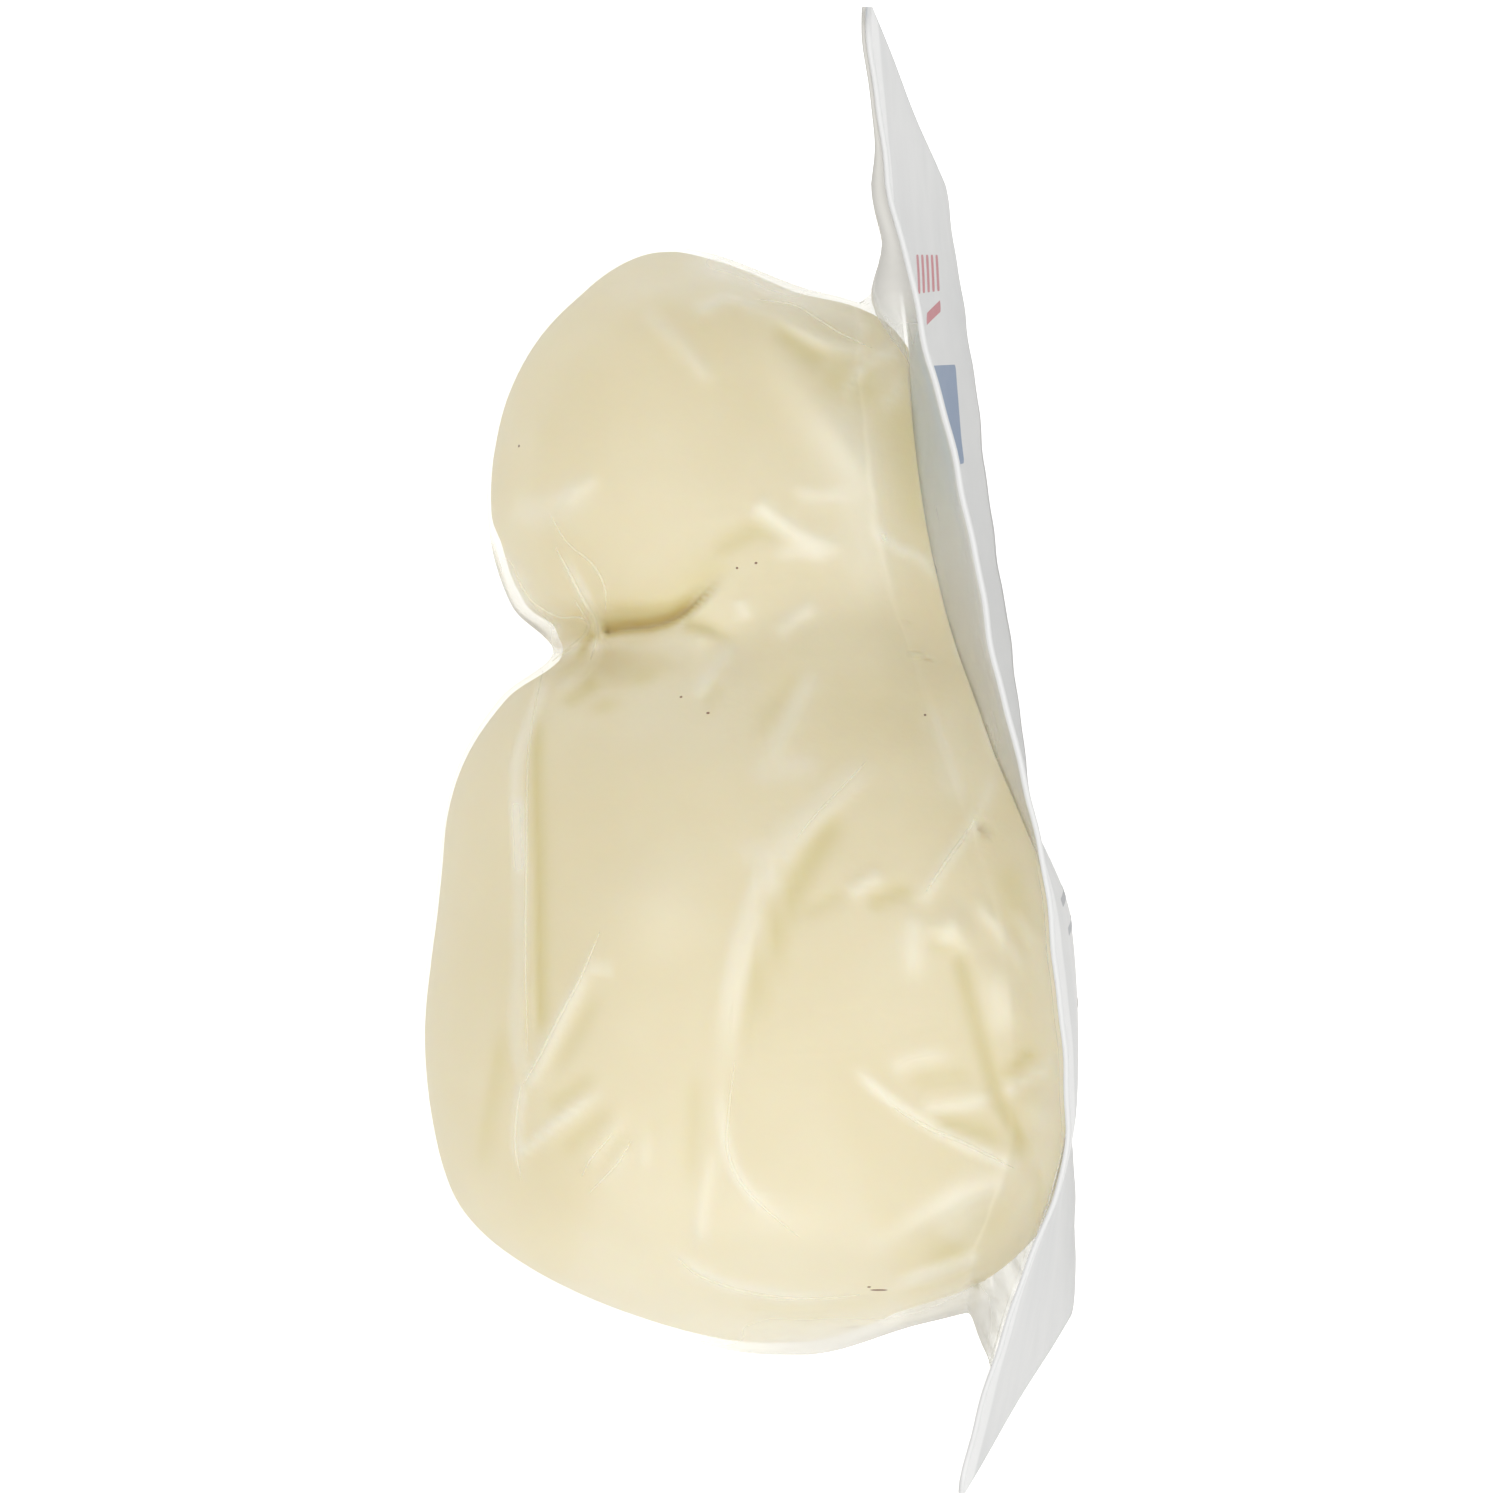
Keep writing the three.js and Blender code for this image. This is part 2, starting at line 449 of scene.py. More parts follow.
# The folds of the head, from its crown to the crease
HEAD_FOLDS = (
    Fold(R, 0.35, (1.0, 1.0), ((632, 305), (655, 322), (680, 342), (700, 366), (716, 388)), strength=0.9),
    Fold(D, 1.2, (1.4, 1.4), ((672, 254), (720, 266), (770, 284), (824, 306), (880, 330)), (0.25, 0.1)),
    Fold(H, 0, (3.0, 2.0), ((590, 300), (640, 286), (690, 282), (740, 298)), strength=0.10),
    Fold(R, 0.3, (0.7, 0.7), ((684, 298), (702, 306), (730, 296), (756, 306), (786, 320)), strength=1.3),
    Fold(R, 0.3, (0.7, 0.7), ((760, 300), (800, 328), (840, 345), (880, 350), (905, 345)), (0.2, 0.1), 1.3),
    Fold(V, 0.5, (1.2, 1.2), ((768, 320), (800, 345), (836, 366)), strength=0.9),
    Fold(S, 0, (1.8, 1.8), ((815, 366), (850, 386), (888, 398)), strength=0.4),
    Fold(R, 0.35, (0.6, 0.6), ((905, 350), (880, 357), (862, 369), (850, 386), (846, 405)), (0.1, 0.3), 1.3),
    Fold(R, 0.25, (0.6, 0.6), ((908, 372), (895, 395), (880, 410)), strength=1.2),
    Fold(S, 0, (2.6, 3.0), ((880, 390), (905, 430), (918, 490), (930, 560)), strength=0.35),
    Fold(L, 0.5, (3.0, 2.4), ((745, 310), (800, 390), (850, 450), (910, 530)), strength=1.5),
    Fold(L, 0.5, (2.4, 2.4), ((522, 380), (528, 440), (530, 490)), (0.5, 0.5)),
    Fold(H, 0, (1.8, 1.8), ((500, 500), (530, 512), (562, 502), (600, 480)), strength=0.20),
    Fold(R, 0.3, (0.8, 0.8), ((552, 508), (580, 486), (602, 476)), strength=0.8),
    Fold(R, 0.5, (1.1, 1.1), ((752, 498), (775, 520), (810, 540), (858, 553)), (0.15, 0.3), 1.8),
    Fold(V, 0.6, (1.2, 1.0), ((696, 568), (732, 542), (762, 530), (794, 546)), strength=0.8),
    Fold(R, 0.2, (0.7, 0.7), ((768, 556), (800, 552), (836, 561))),
    Fold(R, 0.2, (0.8, 0.8), ((785, 488), (820, 495), (862, 490))),
    Fold(R, 0.3, (0.6, 0.6), ((870, 520), (895, 545), (925, 560), (945, 590)), strength=2.2),
    Fold(R, 0.3, (0.9, 0.9), ((768, 640), (796, 616), (824, 600)), strength=1.1),
    Fold(R, 0.2, (0.8, 0.8), ((738, 596), (746, 622))),
    Fold(H, 0, (4.0, 3.0), ((800, 380), (850, 450), (875, 540), (880, 620)), strength=0.2),
    Fold(H, 0, (0.9, 0.9), ((922, 420), (932, 490), (946, 560), (962, 630), (980, 700)), strength=0.6),
    Fold(H, 0, (0.9, 0.9), ((944, 460), (960, 550), (978, 640), (1004, 775)), (0.3, 0.1), 0.6),
)

# The crease under the head and the pinch at its left end
NECK_FOLDS = (
    Fold(
        C, 1.9, (1.2, 0.4),
        ((598, 634), (624, 630), (650, 627), (670, 621), (688, 609), (710, 587), (738, 564)),
        (0.05, 0.4),
    ),
    Fold(S, 0, (2.6, 0.8), ((600, 626), (650, 616), (686, 600), (716, 574), (740, 560)), (0.1, 0.3), 0.35),
    Fold(V, 0.6, (0.8, 0.7), ((680, 623), (710, 630), (748, 642)), (0.1, 0.6)),
    Fold(S, 0, (1.5, 1.5), ((600, 690), (606, 716)), (0.5, 0.5), 0.35),
    Fold(S, 0, (1.4, 1.4), ((638, 662), (648, 690)), (0.5, 0.5), 0.3),
    Fold(L, 1.6, (1.2, 2.5), ((606, 652), (650, 645), (690, 640), (730, 640))),
    Fold(V, 0.8, (0.5, 0.5), ((594, 633), (584, 645), (570, 656)), (0.2, 0.4), 1.5),
    Fold(B, 0.3, (0.7, 0.7), ((597, 640), (592, 660), (575, 676), (550, 692)), (0.1, 0.3)),
    Fold(V, 0.4, (0.9, 0.9), ((600, 672), (580, 690), (556, 702)), strength=0.9),
    Fold(B, 0.25, (0.6, 0.6), ((556, 547), (570, 573), (584, 600), (595, 620), (597, 636)), (0.3, 0.05)),
    Fold(H, 0, (1.5, 1.5), ((500, 560), (512, 596), (535, 622), (562, 634)), strength=0.2),
    Fold(R, 0.3, (0.8, 0.8), ((737, 640), (712, 668), (690, 702)), strength=1.3),
    Fold(V, 0.3, (0.9, 0.9), ((724, 678), (702, 708)), strength=0.5),
    Fold(R, 0.3, (1.0, 1.0), ((822, 655), (802, 695), (780, 738), (760, 768)), strength=1.2),
    Fold(V, 0.25, (1.0, 1.0), ((800, 655), (778, 700), (752, 740)), strength=0.4),
    Fold(L, 1.1, (3.0, 3.0), ((730, 652), (800, 648), (870, 646), (940, 650)), strength=0.5),
    Fold(D, 1.9, (2.0, 2.0), ((490, 515), (502, 560), (518, 600), (540, 628), (556, 642)), (0.3, 0.2), 0.3),
    Fold(H, 0, (6.0, 6.0), ((600, 690), (690, 700), (780, 700)), strength=0.10),
)

# The long fold down the left and the short ones that meet it
LEFT_FOLDS = (
    Fold(
        B, 0.25, (0.75, 0.65),
        ((546, 672), (534, 706), (516, 760), (516, 810), (519, 880)),
        (0.15, 0.05), 0.9,
    ),
    Fold(
        B, 0.25, (0.70, 0.75),
        ((516, 790), (519, 880), (518, 960), (515, 1030), (522, 1084)),
        (0.05, 0.1), 0.9,
    ),
    Fold(B, 0.3, (0.6, 0.6), ((523, 1076), (517, 1115), (516, 1150), (523, 1184)), (0.1, 0.4), 1.2),
    Fold(
        V, 0.45, (0.9, 0.45),
        ((537, 690), (534, 760), (535, 850), (536, 960), (538, 1046)),
        (0.2, 0.1), 1.1,
    ),
    Fold(
        R, 0.4, (0.7, 0.6),
        ((600, 930), (582, 975), (557, 1022), (540, 1058), (525, 1086)),
        (0.35, 0.05), 1.7,
    ),
    Fold(V, 0.3, (0.9, 0.9), ((600, 985), (574, 1034), (548, 1082)), strength=0.5),
    Fold(R, 0.2, (0.6, 0.6), ((586, 970), (600, 968), (615, 969)), strength=1.2),
    Fold(R, 0.35, (0.6, 0.6), ((610, 1084), (570, 1112), (540, 1136), (520, 1154)), (0.35, 0.05), 1.7),
    Fold(V, 0.3, (0.9, 0.9), ((600, 1070), (565, 1094), (540, 1112)), strength=0.6),
    Fold(V, 0.3, (0.8, 0.8), ((616, 1104), (580, 1134), (552, 1160)), strength=0.6),
    Fold(S, 0, (1.2, 0.6), ((500, 1010), (494, 1070), (482, 1130), (474, 1185)), strength=0.3),
    Fold(R, 0.2, (0.7, 0.7), ((631, 1105), (600, 1147), (579, 1172)), strength=0.7),
    Fold(V, 0.2, (0.6, 0.6), ((630, 1128), (608, 1162), (592, 1185)), strength=0.5),
    Fold(R, 0.2, (0.7, 0.7), ((629, 1141), (616, 1163), (589, 1193)), strength=0.7),
    Fold(R, 0.2, (0.6, 0.6), ((650, 1120), (644, 1150), (640, 1172)), strength=0.6),
    Fold(V, 0.2, (0.6, 0.6), ((656, 1120), (642, 1150)), strength=0.4),
)

# The long S of a fold down the middle
MIDDLE_FOLDS = (
    Fold(B, 0.35, (1.1, 1.7), ((886, 756), (842, 790), (806, 824), (776, 858), (756, 900)), (0.2, 0.2), 0.9),
    Fold(
        B, 0.35, (1.0, 1.3),
        ((776, 858), (756, 900), (742, 950), (732, 1005), (724, 1100)),
        (0.2, 0.3), 0.9,
    ),
    Fold(
        V, 0.55, (1.3, 1.0),
        ((846, 804), (820, 842), (796, 884), (776, 930), (754, 1000), (742, 1080)),
        (0.15, 0.35),
    ),
    Fold(
        R, 0.35, (0.7, 0.7),
        ((722, 1060), (721, 1110), (727, 1152), (742, 1184), (766, 1209), (798, 1236)),
        strength=1.3,
    ),
    Fold(R, 0.3, (0.8, 0.7), ((718, 1135), (706, 1185), (700, 1225), (701, 1254)), strength=0.8),
    Fold(V, 0.3, (0.9, 0.9), ((694, 1060), (692, 1130), (686, 1200)), strength=0.5),
    Fold(H, 0, (1.3, 1.3), ((742, 772), (780, 768), (832, 760)), strength=0.20),
    Fold(H, 0, (1.0, 1.0), ((736, 856), (766, 846)), strength=0.15),
    Fold(L, 0.4, (3.5, 3.5), ((640, 820), (650, 900), (650, 980)), (0.5, 0.5)),
)

# The crumpled belly beside the sheet
RIGHT_FOLDS = (
    Fold(
        R, 0.4, (0.6, 0.6),
        ((1000, 764), (984, 802), (966, 834), (946, 862), (926, 892), (910, 908)),
        (0.1, 0.3), 1.6,
    ),
    Fold(S, 0, (1.4, 3.2), ((968, 690), (968, 740), (962, 790), (948, 828)), (0.3, 0.3), 0.12),
    Fold(R, 0.35, (0.7, 0.7), ((844, 897), (866, 882), (888, 869)), strength=1.4),
    Fold(V, 0.35, (0.8, 0.8), ((862, 908), (890, 894), (918, 886)), strength=0.9),
    Fold(V, 0.3, (0.8, 0.8), ((790, 918), (826, 902), (850, 886)), strength=0.5),
    Fold(R, 0.4, (1.1, 1.1), ((914, 905), (913, 950), (916, 990)), (0.2, 0.5), 1.1),
    Fold(L, 0.7, (1.8, 1.8), ((928, 914), (950, 928), (980, 930)), (0.5, 0.5), 4.0),
    Fold(V, 0.4, (0.7, 0.7), ((924, 936), (944, 948), (962, 950)), strength=0.7),
    Fold(V, 0.6, (0.7, 0.9), ((958, 946), (968, 985), (986, 1050), (1000, 1094), (1030, 1158)), (0.1, 0.05)),
    Fold(L, 0.7, (1.8, 1.8), ((990, 950), (1002, 1000), (1012, 1045)), (0.4, 0.4), 3.0),
    Fold(R, 0.3, (0.7, 0.7), ((972, 896), (1000, 930), (1034, 985)), strength=1.2),
    Fold(S, 0, (1.6, 1.6), ((1005, 850), (1025, 900), (1040, 955)), strength=0.35),
    Fold(R, 0.35, (0.7, 0.7), ((1014, 905), (1028, 928), (1040, 950)), strength=1.2),
    Fold(V, 0.4, (0.7, 0.7), ((996, 1082), (1020, 1064), (1046, 1046))),
    Fold(R, 0.4, (0.6, 0.6), ((996, 1098), (1030, 1080), (1064, 1060)), strength=1.6),
    Fold(R, 0.35, (0.8, 0.7), ((912, 1109), (960, 1106), (1000, 1097)), strength=1.5),
    Fold(V, 0.5, (1.2, 0.6), ((925, 1118), (966, 1130), (1012, 1148)), strength=0.9),
    Fold(
        R, 0.4, (0.6, 0.6),
        ((850, 1064), (880, 1092), (932, 1128), (988, 1156), (1026, 1170)),
        (0.2, 0.1), 1.8,
    ),
    Fold(R, 0.3, (0.9, 0.9), ((884, 1072), (912, 1060), (960, 1052)), strength=1.0),
    Fold(V, 0.3, (0.9, 0.9), ((905, 1084), (940, 1078), (985, 1076)), strength=0.5),
    Fold(L, 0.5, (1.2, 1.2), ((1034, 1090), (1042, 1136)), (0.5, 0.5), 3.0),
    Fold(V, 0.5, (0.5, 0.5), ((1034, 1162), (1042, 1190), (1034, 1228)), strength=0.8),
    Fold(
        R, 0.35, (1.3, 1.2),
        ((1030, 1174), (985, 1188), (938, 1208), (885, 1243), (850, 1260)),
        (0.1, 0.5),
    ),
    Fold(V, 0.35, (1.3, 1.3), ((1008, 1205), (986, 1228), (958, 1252), (912, 1270)), strength=0.6),
    Fold(H, 0, (3.0, 2.0), ((930, 690), (955, 750), (960, 820)), strength=0.24),
    Fold(
        H, 0, (1.8, 1.8),
        ((1010, 800), (1040, 900), (1056, 1000), (1060, 1080), (1040, 1190), (1000, 1270)),
        (0.2, 0.2), 0.3,
    ),
    Fold(H, 0, (3.5, 3.5), ((930, 1190), (965, 1225), (950, 1255)), strength=0.2),
)

# The rounded foot
FOOT_FOLDS = (
    Fold(
        R, 0.3, (0.7, 0.6),
        ((660, 1242), (690, 1268), (722, 1284), (760, 1294), (810, 1299), (890, 1290)),
        strength=1.4,
    ),
    Fold(B, 0.3, (0.7, 0.7), ((884, 1291), (940, 1272), (988, 1257)), (0.3, 0.2), 1.2),
    Fold(S, 0, (1.5, 1.5), ((720, 1308), (800, 1318), (900, 1300)), strength=0.25),
    Fold(L, 0.5, (3.5, 3.5), ((700, 1190), (780, 1230), (860, 1220)), (0.4, 0.4), 1.0),
    Fold(H, 0, (13.0, 13.0), ((560, 1240), (740, 1290), (900, 1240)), (0.1, 0.1), 0.1),
)
FOLDS = HEAD_FOLDS + NECK_FOLDS + LEFT_FOLDS + MIDDLE_FOLDS + RIGHT_FOLDS + FOOT_FOLDS


@dataclass(frozen=True)
class Pleat:
    """A thin pleat, no more than a line, where the film is drawn together.

    Attributes:
        half_width: Half its width in millimetres, at its middle.
        path: Pixels that it passes, in order.
        haze: How white it is.
    """

    half_width: float
    path: tuple[Point, ...]
    haze: float = 0.3


# The lines that meet at the pinch, then those further down
PLEATS = (
    Pleat(0.18, ((551, 515), (560, 532), (572, 547), (590, 561), (601, 577), (606, 592), (606, 610))),
    Pleat(0.18, ((512, 560), (520, 582), (532, 600), (545, 610), (562, 617), (580, 617), (589, 623))),
    Pleat(0.26, ((556, 547), (570, 573), (584, 600), (595, 620), (597, 640), (591, 660))),
    Pleat(0.24, ((575, 600), (584, 614), (589, 626), (583, 637), (568, 650), (553, 662))),
    Pleat(0.16, ((543, 672), (536, 705), (531, 735), (528, 770), (527, 840), (526, 960), (528, 1050))),
    Pleat(0.18, ((600, 932), (582, 975), (557, 1022), (540, 1056), (524, 1084))),
    Pleat(0.16, ((522, 1084), (517, 1115), (516, 1150), (522, 1180))),
    Pleat(0.14, ((612, 1134), (601, 1147), (590, 1160), (582, 1176))),
    Pleat(0.14, ((631, 1141), (620, 1160), (604, 1178), (589, 1193))),
    Pleat(0.14, ((866, 762), (840, 790), (813, 818), (797, 838))),
    Pleat(0.18, ((735, 1060), (729, 1110), (728, 1152), (742, 1184), (766, 1209), (798, 1236))),
    Pleat(0.22, ((976, 818), (966, 834), (946, 862), (926, 892))),
    Pleat(0.24, ((893, 1106), (912, 1118), (931, 1129), (962, 1142), (1014, 1168))),
    Pleat(0.18, ((676, 1256), (694, 1272), (722, 1284), (760, 1294), (810, 1298), (860, 1294))),
    Pleat(0.16, ((760, 300), (795, 306), (820, 321), (841, 334), (872, 348))),
)


@dataclass(frozen=True)
class Gather:
    """Pleats of film that run together at a pinch, like a drawn purse.

    Attributes:
        centre: Pixel that the pleats run to.
        count: Pleats in a whole turn.
        reach: How far they run, in millimetres.
        rise: Their height in millimetres.
        haze: Their whiteness.
        phase: Turns them about the pinch.
    """

    centre: Point
    count: float
    reach: float
    rise: float
    haze: float
    phase: float = 0.0

    WOBBLE = 0.5
    WOBBLE_TURN = 1.3
    PINCHED = (0.2, 1.5)

    def amount(self, pixels: Array, scale: Array) -> Array:
        """How high each of some points is on a pleat, from -1 to 1, faded with distance."""
        away = (pixels - np.array(self.centre)) / scale[:, None]
        distance = np.linalg.norm(away, axis=1)
        angle = np.arctan2(away[:, 1], away[:, 0])
        wobble = self.WOBBLE * np.sin(distance * self.WOBBLE_TURN + self.phase)
        fade = np.exp(-((distance / self.reach) ** 2)) * smoothstep(distance, *self.PINCHED)
        return np.cos(self.count * angle + self.phase + wobble) * fade


GATHERS = (
    Gather((597, 628), 13, 5.0, 0.10, 0.06),
    Gather((1044, 1172), 17, 6.0, 0.16, 0.05, 1.2),
    Gather((905, 345), 13, 6.0, 0.14, 0.08, 2.0),
)


class Side(Enum):
    """The flank that folds are on: the near one, which the camera sees, or the far one."""

    NEAR = 1
    FAR = -1


FLANK_STEEPNESS = (0.05, 0.3)


def fold_directions(normals: Array) -> Array:
    """The way that folds rise: out of the surface, and straight up or down where it is a flank."""
    upright = np.sign(normals[:, 2:]) * (0, 0, 1)
    return normals + smoothstep(np.abs(normals[:, 2:]), *FLANK_STEEPNESS) * (upright - normals)


@dataclass
class FoldField:
    """What all the folds do at some points of the pack.

    Attributes:
        film: How far the film rises.
        cheese: How far the cheese rises.
        haze: How white the film is; the cheese takes it as painted sheen and light.
        tint: How far the cheese's colour deepens as painted shade.
    """

    film: Array
    cheese: Array
    haze: Array
    tint: Array

    FAR_SHIFT = 26.0
    FAR_SHARE = 0.8
    FLANK_SOFT = 0.22
    LEAST_SHARE = 0.01

    @classmethod
    def over(cls, points: Array, normals: Array) -> "FoldField":
        """The folds at points on both flanks.

        Args:
            points: One row of X, Y and Z each.
            normals: The surface's outward directions there.

        Returns:
            The field, with the far flank folded like the near one, a little shifted.
        """
        field = cls(*(np.zeros(len(points)) for _ in range(4)))
        near_share = smoothstep(normals[:, 2], -cls.FLANK_SOFT, cls.FLANK_SOFT)
        field._add(points, near_share, Side.NEAR)
        mirrored = points * (1, 1, -1) + (0, 0, 2 * FORM.axis_height)
        field._add(mirrored, 1 - near_share, Side.FAR)
        return field

    def _add(self, points: Array, share: Array, side: Side) -> None:
        """Adds one flank's folds.

        Args:
            points: The points as the camera would see them.
            share: How far each belongs to this flank.
            side: The flank.
        """
        draw = np.random.default_rng(SEED)
        on_flank = np.flatnonzero(share > self.LEAST_SHARE)
        pixels, scale = CAMERA.pixels(points[on_flank]), CAMERA.scale(points[on_flank])
        weight = share[on_flank]
        for fold in FOLDS:
            shift = draw.uniform(-self.FAR_SHIFT, self.FAR_SHIFT, 2)
            size = draw.uniform(self.FAR_SHARE, 1)
            if side is Side.NEAR or fold.kind is FoldKind.CREASE:
                shift, size = np.zeros(2), 1.0
            near, amount = fold.amount(pixels + shift, scale)
            amount = amount * weight[near] * size
            places = on_flank[near]
            self.film[places] += fold.kind.film * fold.rise * amount
            self.cheese[places] += fold.kind.cheese * fold.rise * amount
            # The whiteness goes to the cheese as painted sheen too, and the tint is painted shade
            self.haze[places] += fold.kind.haze * fold.strength * amount
            self.tint[places] = np.maximum(self.tint[places], fold.kind.tint * fold.strength * amount)
        for gather in GATHERS:
            amount = gather.amount(pixels, scale) * weight
            self.film[on_flank] += gather.rise * amount
            # A gather's whiteness is painted on the cheese as sheen too
            self.haze[on_flank] += gather.haze * np.maximum(amount, 0)


# Meshes


def placed(name: str, mesh: Mesh) -> Piece:
    """Puts a mesh in the scene under a name."""
    mesh.name = name
    piece = bpy.data.objects.new(name, mesh)
    bpy.context.scene.collection.objects.link(piece)
    return piece


def new_piece(name: str, points: Array, faces: Iterable[tuple[int, ...]] = ()) -> Piece:
    """Makes a smooth-shaded mesh object.

    Args:
        name: Its name.
        points: Its vertices in millimetres.
        faces: Its faces as vertex numbers.

    Returns:
        The object, linked to the scene.
    """
    mesh = bpy.data.meshes.new(name)
    mesh.from_pydata((points * MM).tolist(), [], [tuple(f) for f in faces])
    mesh.validate()
    mesh.shade_smooth()
    return placed(name, mesh)


def remove_piece(piece: Piece) -> None:
    """Deletes an object and its mesh."""
    mesh = piece.data
    bpy.data.objects.remove(piece)
    bpy.data.meshes.remove(mesh)


def applied(name: str, piece: Piece) -> Piece:
    """Makes a plain object of what a piece's modifiers give, and removes the piece.

    Args:
        name: The new object's name.
        piece: The piece with its modifiers.

    Returns:
        The new object, without modifiers.
    """
    graph = bpy.context.evaluated_depsgraph_get()
    mesh = bpy.data.meshes.new_from_object(piece.evaluated_get(graph), depsgraph=graph)
    piece.modifiers.clear()
    remove_piece(piece)
    return placed(name, mesh)


def surface_of(piece: Piece) -> BVHTree:
    """A piece's surface, on which places can be found."""
    return BVHTree.FromObject(piece, bpy.context.evaluated_depsgraph_get())


def tree_of(points: Iterable[Iterable[float]]) -> KDTree:
    """Points of which the nearest can be found."""
    listed = list(points)
    tree = KDTree(len(listed))
    for number, point in enumerate(listed):
        tree.insert(point, number)
    tree.balance()
    return tree


def points_of(mesh: Mesh) -> Array:
    """A mesh's vertices in millimetres."""
    flat = np.zeros(len(mesh.vertices) * 3, np.float32)
    mesh.vertices.foreach_get("co", flat)
    return flat.reshape(-1, 3).astype(float) / MM


def normals_of(mesh: Mesh) -> Array:
    """A mesh's outward directions at its vertices."""
    flat = np.zeros(len(mesh.vertices) * 3, np.float32)
    mesh.vertex_normals.foreach_get("vector", flat)
    return flat.reshape(-1, 3).astype(float)


def move_points(mesh: Mesh, points: Array) -> None:
    """Puts a mesh's vertices at places in millimetres."""
    mesh.vertices.foreach_set("co", (points * MM).astype(np.float32).ravel())
    mesh.update()


def set_attribute(mesh: Mesh, name: str, values: Array) -> None:
    """Writes a number, or a row of three, for each vertex."""
    kind, label = ("FLOAT", "value") if values.ndim == 1 else ("FLOAT_VECTOR", "vector")
    attribute = mesh.attributes.new(name, kind, "POINT")
    attribute.data.foreach_set(label, values.astype(np.float32).ravel())


def even_steps(lengths: Array, values: Array, count: int) -> Array:
    """Values at even steps of a line's length.

    Args:
        lengths: The lengths of its pieces.
        values: The value at each of their ends.
        count: How many steps.

    Returns:
        One more value than steps, from the first to the last.
    """
    run = np.concatenate([[0], np.cumsum(lengths)])
    return np.interp(np.linspace(0, run[-1], count + 1), run, values)


@dataclass(frozen=True)
class LoftGrid:
    """A closed grid over the wrapped cheese, finer on the flank that the camera sees.

    Attributes:
        rows: Steps from crown to foot.
        columns: Steps round.
        far_share: Fineness of the far flank and the back against the near flank.
    """

    rows: int
    columns: int
    far_share: float = 0.22

    SAMPLES = 1200
    CREASE_FINENESS = 1.2
    WIDEST_STATION = 9
    NEAR_SINES = (-0.35, 0.05)
    BACK_COSINES = (1.0, 0.8)

    def along(self) -> Array:
        """Shares from crown to foot at even steps of the outline, closer together at the crease."""
        shares = np.linspace(0, 1, self.SAMPLES)
        outline = FORM.outline()
        middle = np.hstack([outline.at(shares / 2), outline.at(1 - shares / 2)]) / math.sqrt(2)
        lengths = np.linalg.norm(np.diff(middle, axis=0), axis=1)
        from_crease = shares[1:] * (len(FORM.stations) - 1) - FORM.crease[0]
        lengths *= 1 + self.CREASE_FINENESS * np.exp(-(from_crease**2))
        return even_steps(lengths, shares, self.rows)

    def turn(self) -> Array:
        """Angles round from the front, closer together on the near flank."""
        angles = np.linspace(0, 2 * math.pi, self.SAMPLES)
        widest = np.full(self.SAMPLES, self.WIDEST_STATION / (len(FORM.stations) - 1))
        section = FORM.wrapped(widest, angles)
        lengths = np.linalg.norm(np.diff(section, axis=0), axis=1)
        sines, cosines = np.sin(angles[:-1]), np.cos(angles[:-1])
        nearness = smoothstep(sines, *self.NEAR_SINES) * smoothstep(-cosines, *self.BACK_COSINES)
        lengths *= self.far_share + (1 - self.far_share) * nearness
        return even_steps(lengths, angles, self.columns)[:-1]

    def build(self, name: str) -> Piece:
        """Makes the closed mesh object, which isn't yet pressed against table and sheet."""
        along, turn = self.along(), self.turn()
        ring_along = np.repeat(along[1:-1], self.columns)
        ring_turn = np.tile(turn, self.rows - 1)
        rings = FORM.wrapped(ring_along, ring_turn)
        poles = FORM.wrapped(np.array([0.0, 1.0]), np.zeros(2))
        return new_piece(name, np.vstack([poles[:1], rings, poles[1:]]), self.faces())

    def faces(self) -> list[tuple[int, ...]]:
        """The grid's faces, outwards: quads between rings and a fan at each pole."""
        columns, last = self.columns, 1 + (self.rows - 1) * self.columns
        made: list[tuple[int, ...]] = []
        for column in range(columns):
            beside = (column + 1) % columns
            made.append((0, 1 + column, 1 + beside))
            foot = last - columns
            made.append((last, foot + beside, foot + column))
            for row in range(self.rows - 2):
                top, low = 1 + row * columns, 1 + (row + 1) * columns
                made.append((top + column, low + column, low + beside, top + beside))
        return made


